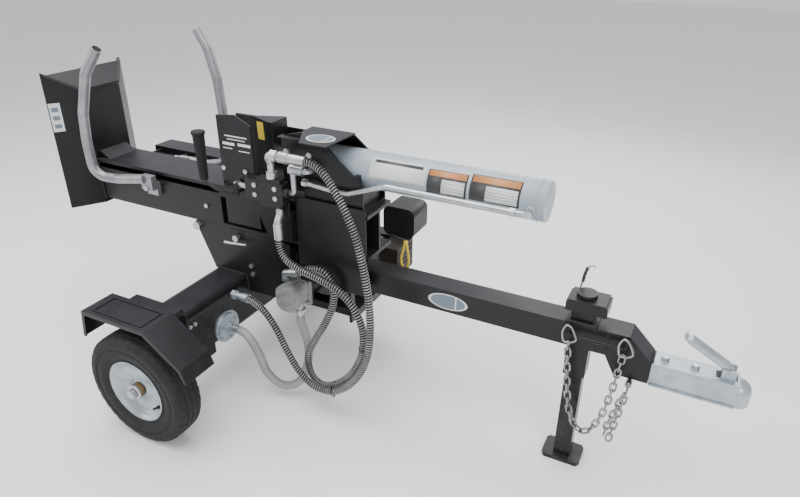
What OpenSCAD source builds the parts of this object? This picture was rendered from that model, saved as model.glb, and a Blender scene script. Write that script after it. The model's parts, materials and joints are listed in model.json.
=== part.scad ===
// Towable hydraulic log splitter with a tilting beam, 24 inch stroke.
// Millimetres, +Z up, +X towards the hitch. The origin is on the ground under
// the middle of the machine, so the foot plate and the coupler are equally far.

/* [Overall] */
// Distance from the middle to the rearmost edge and to the coupler's nose
half_len = 1186; // [1180:1:1192]
// Height of the wheel centre, half the tyre's diameter
axle_z = 197; // [195:1:200]
// Distance from the centre plane to the middle of a tyre
track_half = 530; // [528:1:534]

/* [Beam] */
// Height of the beam's top face
beam_top = 724; // [724:1:726]
// Width across the beam's flanges
beam_w = 154; // [150:1:156]
// Thickness of the beam's flanges
flange_t = 12; // [10:1:13]
// How far the ram travels
ram_stroke = 610; // [500:5:610]

/* [Cylinder] */
// Outer diameter of the cylinder barrel
barrel_d = 117; // [110:1:120]
// Diameter of the piston rod
rod_d = 50; // [45:1:54]

/* [Tongue] */
// Side of the square tongue tube
tongue_w = 78; // [76:1:80]
// Height of the tongue's top face
tongue_top = 514; // [512:1:516]

/* [Tank] */
// Half the length of the tank across the machine
tank_half = 392; // [386:1:394]
// Height of the tank's top face
tank_top = 392; // [388:1:394]

/* [Wheels] */
// Width of a tyre
tyre_w = 100; // [98:1:102]
// Radius of the rim's flange
rim_r = 110; // [108:1:112]

/* [Hidden] */
$fn = 48;

rear_x = -half_len;
nose_x = half_len;
axle_x = -510;

beam_h = 156;
beam_bottom = beam_top - beam_h;
beam_back = -1104;
beam_front = 62;
half_w = beam_w/2;
side_end = -519;
side_top = beam_top - flange_t - 20;

hinge_x = -640;
hinge_z = beam_bottom - 20;
hinge_r = 10;

tower_in = 69;
tower_out = 77;
tower_front = -243;
latch_x = -460;
latch_z = 540;
latch_r = 9;

tank_back = -588;
tank_front = -440;
tank_low = 206;
spindle_r = 12.7;
spindle_end = 580;

tongue_low = tongue_top - tongue_w;
tongue_half = tongue_w/2;
nose_start = 806;

cyl_z = 849;
cyl_front = -150;
cyl_back = 591;
barrel_r = barrel_d/2;
bore_r = barrel_r - 8;

crank_x = -222;
crank_z = 386;

jack_x = 728;
sleeve_half = 31.75;
leg_half = 25.4;
jack_pin_z = 534;

ball_x = nose_x - 35;
socket_r = 35;
ball_r = 25.4;

black = "#1b1b1e";
steel = "#b9bdc0";
zinc = "#c9d3d6";

// ---------------------------------------------------------------- helpers

module bar(lo, hi) {
    translate(lo) cube(hi - lo);
}

// Straight round rod between two points
module rod(a, b, r) {
    d = b - a;
    len = norm(d);
    translate(a)
        rotate([0, acos(d.z/len), atan2(d.y, d.x)])
            cylinder(h = len, r = r);
}

function unit(v) = v/norm(v);
function turn(a, b, c) = acos(unit(b - a)*unit(c - b));
function setback(a, b, c, bend) = bend*tan(turn(a, b, c)/2);
function leave(p, i, bend) =
    i == 0 ? p[0] : p[i] + unit(p[i + 1] - p[i])*setback(p[i - 1], p[i], p[i + 1], bend);
function arrive(p, i, bend) =
    i == len(p) - 1 ? p[i] : p[i] - unit(p[i] - p[i - 1])*setback(p[i - 1], p[i], p[i + 1], bend);

// Round bar or tube through a list of points, with every corner bent to one radius.
// A straight reaches a little into each bend and is a little thicker, so they fuse.
module pipe(p, r, bend) {
    lap = min(1.2, bend/8);
    thicker = r < 4 ? 0.25 : 0.4;
    for (i = [0 : len(p) - 2]) {
        a = leave(p, i, bend);
        b = arrive(p, i + 1, bend);
        v = unit(b - a)*lap;
        rod(i == 0 ? a : a - v, i == len(p) - 2 ? b : b + v, r + thicker);
    }
    for (i = [1 : len(p) - 2]) {
        start = arrive(p, i, bend);
        v = unit(p[i] - p[i - 1]);
        w = unit(cross(v, p[i + 1] - p[i]));
        u = cross(v, w);
        c = start - u*bend;
        multmatrix([[u.x, v.x, w.x, c.x], [u.y, v.y, w.y, c.y], [u.z, v.z, w.z, c.z], [0, 0, 0, 1]])
            rotate_extrude(angle = turn(p[i - 1], p[i], p[i + 1]))
                translate([bend, 0]) circle(r = r);
    }
}

// Cylinder along Y from y0 to y1
module across(x, z, y0, y1, r) {
    translate([x, y0, z]) rotate([-90, 0, 0]) cylinder(h = y1 - y0, r = r);
}

// Cylinder along X from x0 to x1
module along(x0, x1, y, z, r) {
    translate([x0, y, z]) rotate([0, 90, 0]) cylinder(h = x1 - x0, r = r);
}

// Flat outline in the XZ plane, thick from y0 to y1
module side_plate(y0, y1) {
    translate([0, y1, 0]) rotate([90, 0, 0]) linear_extrude(y1 - y0) children();
}

// Hexagon head along Y, its across-flats size given
module hex_across(x, z, y0, y1, flats) {
    translate([x, y0, z]) rotate([-90, 0, 0]) cylinder(h = y1 - y0, d = flats/cos(30), $fn = 6);
}

module hex_along(x0, x1, y, z, flats) {
    translate([x0, y, z]) rotate([0, 90, 0]) cylinder(h = x1 - x0, d = flats/cos(30), $fn = 6);
}

module hex_up(x, y, z0, z1, flats) {
    translate([x, y, z0]) cylinder(h = z1 - z0, d = flats/cos(30), $fn = 6);
}

// Rectangle with round corners, exact arcs, centred
module round_rect(w, h, r) {
    square([w - 2*r, h], center = true);
    square([w, h - 2*r], center = true);
    for (i = [-1, 1], j = [-1, 1])
        translate([i*(w/2 - r), j*(h/2 - r)]) circle(r = r);
}

module mirror_y() {
    mirror([0, 1, 0]) children();
}

// ---------------------------------------------------------------- chassis

// Oil tank that carries the wheels, with a reinforcing box and a stub axle at each end
module tank() {
    mid_x = (tank_back + tank_front)/2;
    mid_z = (tank_low + tank_top)/2;
    deep = tank_front - tank_back;
    high = tank_top - tank_low;
    color(black) difference() {
        union() {
            translate([mid_x, tank_half, mid_z]) rotate([90, 0, 0])
                linear_extrude(2*tank_half) round_rect(deep, high, 26);
            for (s = [-1, 1]) {
                bar([tank_back + 4, s > 0 ? 277 : -tank_half, tank_low - 22],
                    [tank_front, s > 0 ? tank_half : -277, tank_low + 40]);
                bar([tank_back - 6, s > 0 ? tank_half - 6 : -tank_half, tank_low - 22],
                    [tank_front + 6, s > 0 ? tank_half : -tank_half + 6, tank_top + 8]);
                across(axle_x, axle_z, s > 0 ? 300 : -spindle_end, s > 0 ? spindle_end : -300, spindle_r);
                across(axle_x, axle_z, s > 0 ? 300 : -469, s > 0 ? 469 : -300, 20);
            }
        }
        translate([mid_x, tank_half - 10, mid_z]) rotate([90, 0, 0])
            linear_extrude(2*tank_half - 20) round_rect(deep - 8, high - 56, 22);
        along(tank_front - 20, tank_front + 1, -215, 257, 24);
        along(tank_front - 20, tank_front + 1, -160, 356, 10);
        translate([mid_x, 250, tank_top - 60]) cylinder(h = 61, r = 18);
    }
}

module tower_outline() {
    polygon([[-583, tank_top], [tank_front, tank_top], [tank_front, 330], [tower_front - 30, 330],
        [tower_front, 360], [tower_front, beam_bottom - 12], [-300, beam_bottom - 2],
        [-600, beam_bottom - 2], [hinge_x, beam_bottom - 2], [hinge_x, hinge_z - 19]]);
    translate([hinge_x, hinge_z]) circle(r = 18.5);
}

// Stand on the tank: two plates that hold the hinge pin and the lock pin
module tower() {
    color(black) difference() {
        union() {
            side_plate(-tower_out, -tower_in) tower_outline();
            side_plate(tower_in, tower_out) tower_outline();
            bar([-600, -tower_out, beam_bottom - 12.3], [-490, tower_out, beam_bottom - 0.3]);
            bar([-430, -tower_out, beam_bottom - 12.3], [-300, tower_out, beam_bottom - 0.3]);
            bar([-583, -tower_out, tank_top], [-575, tower_out, beam_bottom - 8]);
            bar([tower_front - 8, -tower_out, 440], [tower_front, -tongue_half, beam_bottom - 30]);
            bar([tower_front - 8, tongue_half, 482], [tower_front, tower_out, beam_bottom - 30]);
        }
        bar([crank_x - 52, -tower_out - 1, crank_z - 60], [crank_x + 52, -tower_in + 1, crank_z + 52]);
        across(crank_x, crank_z, tower_in - 1, tower_out + 1, 94);
        across(hinge_x, hinge_z, -100, 100, hinge_r + 0.05);
        across(latch_x, latch_z, -100, 100, latch_r + 0.05);
    }
}

module nose_outline(inset) {
    i = inset;
    polygon([[nose_start + i, tongue_top - i], [864 - i*0.4, tongue_top - i], [931 - i, 447 - i*0.4],
        [931 - i, 380 + i], [836 + i*0.6, 380 + i], [nose_start + i, tongue_low + i*0.6]]);
}

// Tow tongue: square tube with a cut and dropped nose, and the wire loop for the chain
module tongue() {
    color(black) difference() {
        union() {
            bar([tank_front, -tongue_half, tongue_low], [nose_start + 8, tongue_half, tongue_top]);
            side_plate(-tongue_half, tongue_half) nose_outline(0);
        }
        bar([tank_front + 6, -tongue_half + 5, tongue_low + 5],
            [nose_start - 6, tongue_half - 5, tongue_top - 5]);
        side_plate(-tongue_half + 5, tongue_half - 5) nose_outline(6);
        bar([jack_x - sleeve_half, -sleeve_half, tongue_low - 1],
            [jack_x + sleeve_half, sleeve_half, tongue_top + 1]);
        bar([900, -32, 385], [932, 32, 442]);
    }
    color(black) pipe([[700, -tongue_half + 2, 502], [700, -62, 502], [706, -62, 486], [855, -62, 486],
        [861, -62, 502], [861, -tongue_half + 2, 502]], 4.5, 7);
}

module fender_outline() {
    polygon([[-706, 345], [-690, 443], [-430, 443], [-300, 346], [-284, 300], [-288, 298],
        [-304, 343], [-432, 439], [-687, 439], [-702, 345]]);
}

// Fender: bent sheet over the tyre with an inner skirt, braces and two pressed ribs
module near_fender() {
    outer = -566;
    inner = -444;
    color(black) {
        side_plate(outer, inner) fender_outline();
        side_plate(outer, outer + 4) polygon([[-706, 345], [-690, 443], [-430, 443], [-300, 346], [-284, 300],
            [-292, 300], [-310, 338], [-436, 429], [-680, 429], [-694, 345]]);
        side_plate(inner - 4, inner) polygon([[-690, 443], [-430, 443], [-300, 346], [-372, 262],
            [-432, 300], [-590, 300]]);
        bar([-640, inner - 2, 405], [-440, -tank_half, 425]);
        for (y = [outer + 16, inner - 22])
            bar([-660, y, 443], [-452, y + 6, 446]);
        for (x = [-660, -458])
            bar([x, outer + 16, 443], [x + 6, inner - 16, 446]);
    }
}

module far_fender() {
    mirror_y() near_fender();
}

// Plate that carries the engine, hung from the tongue by two struts
module engine_plate() {
    base = crank_z - 106;
    color(black) difference() {
        union() {
            bar([tank_front, 45, base - 8], [-60, 330, base]);
            bar([tank_front, 45, base - 30], [-60, 53, base]);
            bar([tank_front, 322, base - 30], [-60, 330, base]);
            bar([-70, 10, base - 30], [-60, 330, base]);
            bar([-70, 10, base - 30], [-60, 36, tongue_low]);
        }
        for (x = [crank_x - 81, crank_x + 81], y = [110, 200])
            translate([x, y, base - 9]) cylinder(h = 10, r = 4.5);
    }
}

// ---------------------------------------------------------------- engine

eng_low = crank_z - 106;
eng_front = 70;

// Crankcase with side cover, feet and oil plug, bored for the crankshaft
module crankcase() {
    color("#6a6c70") difference() {
        union() {
            bar([crank_x - 95, eng_front + 12, eng_low + 12], [crank_x + 95, 210, crank_z + 62]);
            across(crank_x, crank_z, eng_front + 12, 205, 86);
            bar([crank_x - 100, eng_front + 22, eng_low], [crank_x + 100, 209, eng_low + 14]);
            across(crank_x, crank_z, eng_front, eng_front + 14, 92);
            across(crank_x, crank_z, eng_front - 6, eng_front + 2, 44);
            translate([crank_x - 84, eng_front + 30, eng_low + 40]) rotate([90, 0, -90])
                cylinder(h = 26, r = 12);
        }
        across(crank_x, crank_z, eng_front - 20, 250, 16.05);
        translate([crank_x, 150, crank_z]) rotate([0, 65, 0]) translate([-62, -61, 80]) cube([124, 122, 200]);
        for (x = [crank_x - 81, crank_x + 81], y = [110, 200])
            translate([x, y, eng_low - 1]) cylinder(h = 22, r = 4.5);
        for (a = [45 : 90 : 315])
            across(crank_x + 34*cos(a), crank_z + 34*sin(a), eng_front - 10, eng_front + 8, 4);
    }
}

// Air-cooled cylinder and head, leaning towards the hitch, with cooling fins
module engine_cylinder() {
    color("#8d9094") translate([crank_x, 150, crank_z]) rotate([0, 65, 0]) {
        translate([0, 0, 80]) cylinder(h = 20, r = 52);
        translate([0, 0, 98]) cylinder(h = 92, r = 42);
        for (i = [0 : 8])
            translate([-60, -58, 106 + 10*i]) cube([120, 116, 4]);
        translate([-52, -50, 186]) cube([104, 100, 26]);
        translate([-44, -42, 210]) cube([88, 84, 22]);
    }
}

// Fan housing behind the crankcase
module blower_housing() {
    color(black) difference() {
        union() {
            across(crank_x, crank_z + 10, 210, 290, 115.5);
            bar([crank_x, 210, crank_z - 60], [crank_x + 150, 280, crank_z + 128]);
            bar([crank_x - 111, 231, crank_z + 40], [crank_x - 97, 235, crank_z + 136]);
            across(crank_x - 104, crank_z + 128, 226.2, 232, 5);
            bar([crank_x - 138, 241, crank_z + 22], [crank_x - 108, 245.8, crank_z + 38]);
        }
        across(crank_x, crank_z + 10, 206, 284, 109.5);
        bar([crank_x + 60, 206, crank_z - 54], [crank_x + 144, 274, crank_z + 122]);
        across(crank_x, crank_z + 10, 280, 292, 60);
    }
}

// Recoil starter cover: ring of slots round a hub, with the rope guide
module recoil_cover() {
    color("#26262a") difference() {
        union() {
            across(crank_x, crank_z + 10, 290, 312, 92);
            across(crank_x, crank_z + 10, 310, 326, 58);
            bar([crank_x - 96, 292, crank_z + 60], [crank_x - 58, 318, crank_z + 92]);
        }
        for (a = [0 : 30 : 330])
            translate([crank_x, 285, crank_z + 10]) rotate([0, a, 0])
                translate([66, 0, -5]) cube([20, 40, 10]);
        across(crank_x, crank_z + 10, 285, 306, 56);
        bar([crank_x - 83, 285, crank_z + 70], [crank_x - 71, 330, crank_z + 82]);
    }
}

module fuel_tank() {
    color(black) difference() {
        union() {
            translate([crank_x - 20, 200, crank_z + 164]) linear_extrude(72) round_rect(240, 176, 34);
            translate([crank_x - 20, 200, crank_z + 160]) linear_extrude(8) round_rect(256, 190, 36);
            translate([crank_x - 20, 200, crank_z + 232]) linear_extrude(14) round_rect(210, 146, 40);
            translate([crank_x - 60, 200, crank_z + 240]) cylinder(h = 22, r = 24);
            for (y = [130, 190]) {
                translate([crank_x - 80, y, crank_z + 62]) cylinder(h = 108, r = 7);
                translate([crank_x + 30, y, crank_z + 83]) cylinder(h = 87, r = 7);
            }
        }
        translate([crank_x - 20, 200, crank_z + 170]) linear_extrude(60) round_rect(228, 164, 30);
        translate([crank_x - 60, 200, crank_z + 225]) cylinder(h = 40, r = 19);
    }
}

module muffler() {
    color("#7d7a74") {
        bar([crank_x + 229, 95, crank_z + 40], [crank_x + 300, 215, crank_z + 150]);
        for (i = [0 : 4])
            bar([crank_x + 298, 105, crank_z + 52 + 18*i], [crank_x + 303, 205, crank_z + 60 + 18*i]);
        rod([crank_x + 221.2, 150, crank_z + 90], [crank_x + 232, 150, crank_z + 90], 15);
        rod([crank_x + 270, 100, crank_z + 60], [crank_x + 270, 72, crank_z + 60], 12);
    }
}

// Air cleaner on the far side of the head, joined by the carburettor throat
module air_cleaner() {
    color("#202024") {
        translate([crank_x + 255, 300, crank_z + 205]) rotate([90, 0, 0])
            linear_extrude(110) round_rect(120, 110, 26);
        translate([crank_x + 255, 312, crank_z + 205]) rotate([90, 0, 0])
            linear_extrude(14) round_rect(100, 90, 22);
        rod([crank_x + 210, 240, crank_z + 170], [crank_x + 210, 240, crank_z + 110], 16);
        bar([crank_x + 160, 218, crank_z + 90], [crank_x + 226, 262, crank_z + 132]);
    }
}

module bell_housing() {
    color(black) difference() {
        union() {
            across(crank_x, crank_z, -52, eng_front - 6, 46);
            bar([crank_x - 48, -60, crank_z - 48], [crank_x + 48, -50, crank_z + 48]);
            across(crank_x, crank_z, eng_front - 14, eng_front - 6, 49);
        }
        across(crank_x, crank_z, -61, eng_front, 34);
        bar([crank_x - 14, -30, crank_z - 60], [crank_x + 14, 34, crank_z - 20]);
    }
}

// Two-stage gear pump: mounting flange, gear section, ribbed end cover, shaft bore
module pump() {
    color("#a5a8a6") difference() {
        union() {
            bar([crank_x - 48, -72, crank_z - 48], [crank_x + 48, -60, crank_z + 48]);
            translate([crank_x, -71, crank_z]) rotate([90, 0, 0]) linear_extrude(50) round_rect(80, 92, 30);
            translate([crank_x, -120, crank_z]) rotate([90, 0, 0]) linear_extrude(24) round_rect(86, 98, 34);
            bar([crank_x - 10, -116, crank_z + 44], [crank_x + 10, -74, crank_z + 52]);
            for (a = [30 : 60 : 330])
                across(crank_x + 34*cos(a), crank_z + 38*sin(a), -150, -143, 6);
            across(crank_x, crank_z, -150, -143, 16);
        }
        across(crank_x, crank_z, -110, -50, 9.05);
        translate([crank_x + 18, -96, crank_z - 60]) cylinder(h = 40, r = 14);
    }
}

// Outlet elbow on top of the pump and suction barb below it
module pump_fittings() {
    color(steel) {
        hex_up(crank_x - 28, -96, crank_z + 46, crank_z + 58, 30);
        pipe([[crank_x - 28, -96, crank_z + 50], [crank_x - 28, -104, crank_z + 78],
            [crank_x + 26, -112, crank_z + 96]], 12, 14);
        rod([crank_x + 4, -109, crank_z + 89], [crank_x + 36, -113, crank_z + 99], 15.5);
        translate([crank_x + 18, -96, crank_z - 62]) cylinder(h = 34, r = 13.9);
        translate([crank_x + 18, -96, crank_z - 66]) cylinder(h = 10, r = 20);
        translate([crank_x + 18, -96, crank_z - 84]) cylinder(h = 24, r = 12);
    }
}

// Suction flange with barb, return nipple, and filler cap on the tank
module tank_ports() {
    color(zinc) {
        along(tank_front - 18, tank_front, -215, 257, 23.9);
        along(tank_front, tank_front + 7, -215, 257, 58);
        along(tank_front + 7, tank_front + 16, -215, 257, 50);
        along(tank_front + 16, tank_front + 58, -215, 257, 14);
        hex_along(tank_front + 16, tank_front + 30, -215, 257, 36);
        for (a = [30 : 60 : 330])
            hex_along(tank_front + 16, tank_front + 22, -215 + 40*cos(a), 257 + 40*sin(a), 10);
    }
    color(steel) {
        along(tank_front - 10, tank_front, -160, 356, 9.9);
        hex_along(tank_front, tank_front + 12, -160, 356, 30);
        along(tank_front + 12, tank_front + 40, -160, 356, 12.5);
        along(tank_front + 40, tank_front + 68, -160, 356, 15.5);
    }
    color(black) translate([-514, 250, tank_top - 20]) {
        cylinder(h = 24, r = 17.9);
        translate([0, 0, 20]) cylinder(h = 22, r = 30);
    }
}

// ---------------------------------------------------------------- hoses

hose_r = 13;
suction_r = 15;
hose_sides = 8;

suction_route = [[-382, -215, 257], [-350, -217, 250], [-322, -216, 215], [-302, -212, 165],
    [-285, -206, 105], [-252, -192, 58], [-212, -175, 48], [-178, -156, 72], [-160, -136, 130],
    [-164, -116, 190], [-185, -102, 240], [-202, -97, 275], [-204, -96, 302]];

pressure_route = [[-232, -140, 610], [-230, -142, 585], [-205, -150, 550], [-150, -156, 528],
    [-75, -160, 515], [5, -165, 492], [65, -170, 440], [92, -172, 365], [88, -174, 285],
    [55, -175, 205], [0, -176, 140], [-65, -176, 105], [-118, -168, 125], [-138, -156, 190],
    [-112, -144, 260], [-75, -134, 330], [-48, -124, 405], [-48, -118, 470], [-82, -114, 512],
    [-130, -113, 512], [-170, -113, 493], [-186, -113, 485]];

return_route = [[-108, -140, 892], [-85, -141, 890], [-50, -146, 874], [-10, -154, 835],
    [35, -164, 775], [75, -174, 700], [105, -184, 610], [125, -192, 520], [134, -198, 430],
    [128, -202, 330], [100, -204, 240], [50, -206, 165], [-15, -206, 118], [-85, -206, 115],
    [-145, -204, 155], [-192, -200, 220], [-236, -192, 290], [-290, -180, 340], [-345, -167, 356],
    [-372, -160, 356]];

function spline(a, b, c, d, t) =
    0.5*((2*b) + (c - a)*t + (2*a - 5*b + 4*c - d)*t*t + (3*b - a - 3*c + d)*t*t*t);
function route_end(p, i) = p[max(0, min(len(p) - 1, i))];
function smooth(p, steps) = [
    for (i = [0 : len(p) - 2], k = [0 : steps - 1])
        spline(route_end(p, i - 1), p[i], p[i + 1], route_end(p, i + 2), k/steps),
    p[len(p) - 1]
];
function heading(c, i) = unit(route_end(c, i + 1) - route_end(c, i - 1));
function ring_dirs(t) = let (n = unit(cross([0, 1, 0], t))) [n, cross(t, n)];

// Closed round tube swept along a smoothed route
module hose(route, r, steps) {
    c = smooth(route, steps);
    n = len(c);
    points = [
        for (i = [0 : n - 1])
            let (d = ring_dirs(heading(c, i)))
                for (k = [0 : hose_sides - 1])
                    c[i] + r*(d[0]*cos(k*360/hose_sides) + d[1]*sin(k*360/hose_sides))
    ];
    walls = [
        for (i = [0 : n - 2], k = [0 : hose_sides - 1])
            let (a = i*hose_sides + k, b = i*hose_sides + (k + 1)%hose_sides)
                for (f = [[a, a + hose_sides, b + hose_sides], [a, b + hose_sides, b]])
                    f
    ];
    first = [for (k = [0 : hose_sides - 1]) k];
    last = [for (k = [hose_sides - 1 : -1 : 0]) (n - 1)*hose_sides + k];
    polyhedron(points = points, faces = concat([first], walls, [last]));
}

module suction_hose() {
    color("#9a9c9b") hose(suction_route, suction_r, 1);
}

module pressure_hose() {
    color("#2a2a2c") hose(pressure_route, hose_r, 1);
}

module return_hose() {
    color("#2a2a2c") hose(return_route, hose_r, 1);
}

// ---------------------------------------------------------------- front of the frame

// Sheet panel between the operator and the engine, on brackets from the tongue
module engine_guard() {
    color(black) {
        bar([-200, -84, 440], [58, -81, 745]);
        bar([55, -84, 440], [58, -78, 740]);
        bar([-200, -84, 742], [58, -79, 745]);
        bar([-200, -84, 440], [-197, -78, 740]);
        for (x = [-180, 20])
            bar([x, -82, 452], [x + 24, -tongue_half, 458]);
    }
}

// Outer tube of the drop-leg jack, with its collar above the tongue
module jack_sleeve() {
    color(black) difference() {
        union() {
            bar([jack_x - sleeve_half, -sleeve_half, 330], [jack_x + sleeve_half, sleeve_half, 552]);
            bar([jack_x - 50, -tongue_half, 552], [jack_x + 66, tongue_half, 582]);
            bar([jack_x - 44, -tongue_half, 580], [jack_x + 60, tongue_half, 588]);
            bar([jack_x - 45, -tongue_half - 2, tongue_top], [jack_x + 45, tongue_half + 2, tongue_top + 6]);
        }
        bar([jack_x - leg_half - 0.3, -leg_half - 0.3, 329], [jack_x + leg_half + 0.3, leg_half + 0.3, 600]);
        across(jack_x, jack_pin_z, 0, 60, 6.05);
    }
}

// Ball coupler: channel over the nose, domed socket, rolled lip and lever ears
module coupler() {
    top = 447;
    low = 376;
    color(zinc) difference() {
        union() {
            bar([932, -35, low], [ball_x, 35, top]);
            translate([ball_x, 0, low]) cylinder(h = top - 35 - low, r = socket_r);
            translate([ball_x, 0, top - 35]) sphere(r = socket_r);
            bar([932, -41, low], [ball_x, 41, low + 5]);
            bar([872, -31, 387], [934, 31, 440]);
            for (y = [-22, 16])
                bar([ball_x - 48, y, top - 2], [ball_x - 12, y + 6, top + 30]);
            for (x = [962, 1040])
                translate([x, 0, top]) cylinder(h = 3, r = 12);
        }
        bar([925, -30, low - 1], [ball_x - 30, 30, top - 6]);
        bar([ball_x - 60, -17, low - 1], [ball_x - 6, 17, top + 4]);
        translate([ball_x, 0, low - 1]) cylinder(h = 36, r = ball_r + 0.6);
        translate([ball_x, 0, low + 35]) sphere(r = ball_r + 0.6);
        across(ball_x - 34, top + 16, -40, 40, 5.05);
        for (x = [962, 1040])
            translate([x, 0, top - 20]) cylinder(h = 40, r = 6);
    }
}

// One chain link: two half rings and two straights, lying along X, flat in XY
module link(pitch, half, r) {
    straight = pitch/2 + r + 0.9 - half;
    for (s = [0, 180])
        rotate([0, 0, s]) translate([straight, 0, 0]) rotate([0, 0, -90])
            rotate_extrude(angle = 180) translate([half, 0]) circle(r = r);
    for (y = [-half, half])
        rod([-straight - 0.3, y, 0], [straight + 0.3, y, 0], r + 0.05);
}

// Height of a hanging chain between two hooks, as a parabola
function sag(u, z0, z1, drop) = z0 + (z1 - z0)*u - 4*drop*u*(1 - u);

chain_x0 = 705;
chain_x1 = 856;
chain_z0 = 470;
chain_z1 = 470;
chain_drop = 310;
chain_links = 26;
chain_y = -64;

function chain_point(u) = [chain_x0 + (chain_x1 - chain_x0)*u, sag(u, chain_z0, chain_z1, chain_drop)];
function step_len(a, b) = norm(chain_point(b) - chain_point(a));
function travelled(n, m) = n == 0 ? 0 : travelled(n - 1, m) + step_len((n - 1)/m, n/m);
function at_length(s, n, m, done) =
    let (d = step_len(n/m, (n + 1)/m))
        done + d >= s || n == m - 1 ? (n + (s - done)/d)/m : at_length(s, n + 1, m, done + d);

// Safety chain slung from the wire loop, and its free end with the snap hook
module safety_chain() {
    parts = 120;
    total = travelled(parts, parts);
    step = total/chain_links;
    color(steel) {
        for (i = [0 : chain_links - 1]) {
            a = chain_point(at_length(i*step, 0, parts, 0));
            b = chain_point(at_length((i + 1)*step, 0, parts, 0));
            mid = (a + b)/2;
            translate([mid.x, chain_y, mid.y]) rotate([0, -atan2(b.y - a.y, b.x - a.x), 0])
                rotate([i%2 == 0 ? 90 : 0, 0, 0]) link(step, 6.5, 2.6);
        }
        for (i = [0 : 8])
            translate([884 - 3*i, -56, 352 - 25.5*i]) rotate([0, -90 - 7, 0])
                rotate([i%2 == 0 ? 90 : 0, 0, 0]) link(26, 6.5, 2.6);
        across(884, 372, -62, -tongue_half, 9);
        for (x = [chain_x0 + 5, chain_x1 - 5])
            translate([x, -62, 481]) rotate([0, 90, 0]) link(24, 8.5, 2.6);
    }
}

// Bolts, nuts and caps of the frame
module frame_bolts() {
    color(steel) {
        for (s = [-1, 1], y = [356, 377])
            hex_along(tank_front, tank_front + 7, s*y, 347, 13);
        for (z = [404, 436])
            hex_across(-410 - (z - 404)/8, z, -tower_out - 7, -tower_out, 15);
        for (x = [crank_x - 81, crank_x + 81], y = [110, 200])
            hex_up(x, y, eng_low - 16, eng_low - 8, 13);
        for (x = [crank_x - 40, crank_x + 40], z = [crank_z - 40, crank_z + 40])
            hex_across(x, z, -80, -72, 12);
        for (x = [962, 1040])
            translate([x, 0, 395]) cylinder(h = 54.9, r = 5.9);
        for (x = [962, 1040])
            hex_up(x, 0, 450, 458, 18);
        for (s = [-1, 1]) {
            across(axle_x, axle_z, s > 0 ? spindle_end : -spindle_end - 14,
                s > 0 ? spindle_end + 14 : -spindle_end, 11);
            hex_across(axle_x, axle_z, s > 0 ? spindle_end : -spindle_end - 12,
                s > 0 ? spindle_end + 12 : -spindle_end, 30);
        }
    }
}

// Hinge pin of the beam, with head and nut
module hinge_pin() {
    color(steel) {
        across(hinge_x, hinge_z, -90, 90, hinge_r);
        across(hinge_x, hinge_z, -90, -tower_out - 0.2, 15);
        hex_across(hinge_x, hinge_z, tower_out + 0.2, 90, 27);
    }
}

// ---------------------------------------------------------------- small moving parts

// Crankshaft end with the flywheel boss, jaw coupling and pump shaft
module crankshaft() {
    color(steel) {
        across(crank_x, crank_z, -105, 20, 9);
        across(crank_x, crank_z, -45, 12, 22);
        across(crank_x, crank_z, 14, 40, 28);
        across(crank_x, crank_z, 10, 260, 16);
        for (a = [0 : 90 : 270])
            translate([crank_x, 6, crank_z]) rotate([0, a, 0]) translate([9, 0, -5]) cube([13, 12, 10]);
    }
    color("#3b3b3f") difference() {
        across(crank_x, crank_z, 222, 262, 96);
        for (a = [0 : 30 : 330])
            translate([crank_x, 250, crank_z]) rotate([0, a, 0]) translate([50, 0, -3]) cube([60, 20, 12]);
    }
}

module recoil_grip() {
    color("#151517") {
        across(crank_x - 77, crank_z + 76, 308, 336, 3.5);
        translate([crank_x - 77, 342, crank_z + 76]) rotate([0, 90, 0])
            translate([0, 0, -26]) cylinder(h = 52, r = 8.5);
        across(crank_x - 77, crank_z + 76, 330, 344, 6);
    }
}

module fuel_cap() {
    color("#18181a") translate([crank_x - 60, 200, crank_z + 262.3]) {
        cylinder(h = 14, r = 31);
        translate([0, 0, -12]) cylinder(h = 13, r = 18.7);
        for (a = [0 : 45 : 315])
            rotate([0, 0, a]) translate([29, 0, 0.6]) cylinder(h = 12.6, r = 4);
    }
}

module throttle_lever() {
    color("#2c2c30") {
        across(crank_x - 104, crank_z + 128, 216, 226, 9);
        side_plate(218, 222) polygon([[crank_x - 109, crank_z + 128], [crank_x - 99, crank_z + 128],
            [crank_x - 112, crank_z + 150], [crank_x - 123, crank_z + 146]]);
        across(crank_x - 118, crank_z + 148, 210, 230, 8);
    }
}

module stop_switch() {
    color("#b3201c") {
        across(crank_x - 132, crank_z + 30, 246, 262, 3);
        side_plate(247, 261) polygon([[crank_x - 140, crank_z + 20], [crank_x - 132, crank_z + 26],
            [crank_x - 128, crank_z + 30], [crank_x - 132, crank_z + 34], [crank_x - 143, crank_z + 38]]);
    }
}

// ---------------------------------------------------------------- wheels

// Tyre outline in the plane of radius and width
module tyre_section() {
    difference() {
        union() {
            translate([rim_r + 40, -tyre_w/2 + 10]) square([axle_z - rim_r - 40, tyre_w - 20]);
            translate([rim_r - 6, -45]) square([60, 90]);
            for (s = [-1, 1]) {
                translate([rim_r + 38, s*(tyre_w/2 - 34)]) circle(r = 34);
                translate([rim_r + 8, s*41]) circle(r = 9);
            }
        }
        for (y = [-24, 0, 24])
            translate([axle_z - 7, y - 3]) square([12, 6]);
        for (s = [-1, 1])
            translate([rim_r - 20, s > 0 ? 40 : -52]) square([24, 12]);
        translate([rim_r - 10, -34]) square([24, 68]);
        translate([rim_r + 38, 0]) round_rect(80, 70, 22);
        for (s = [-1, 1])
            translate([axle_z - 6, s*(tyre_w/2 - 10) + (s > 0 ? 0 : -8)]) square([12, 8]);
    }
}

module tyre_at(y) {
    color("#19191b") translate([axle_x, y, axle_z]) rotate([-90, 0, 0]) rotate_extrude() tyre_section();
}

module near_tyre() {
    tyre_at(-track_half);
}

module far_tyre() {
    tyre_at(track_half);
}

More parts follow.
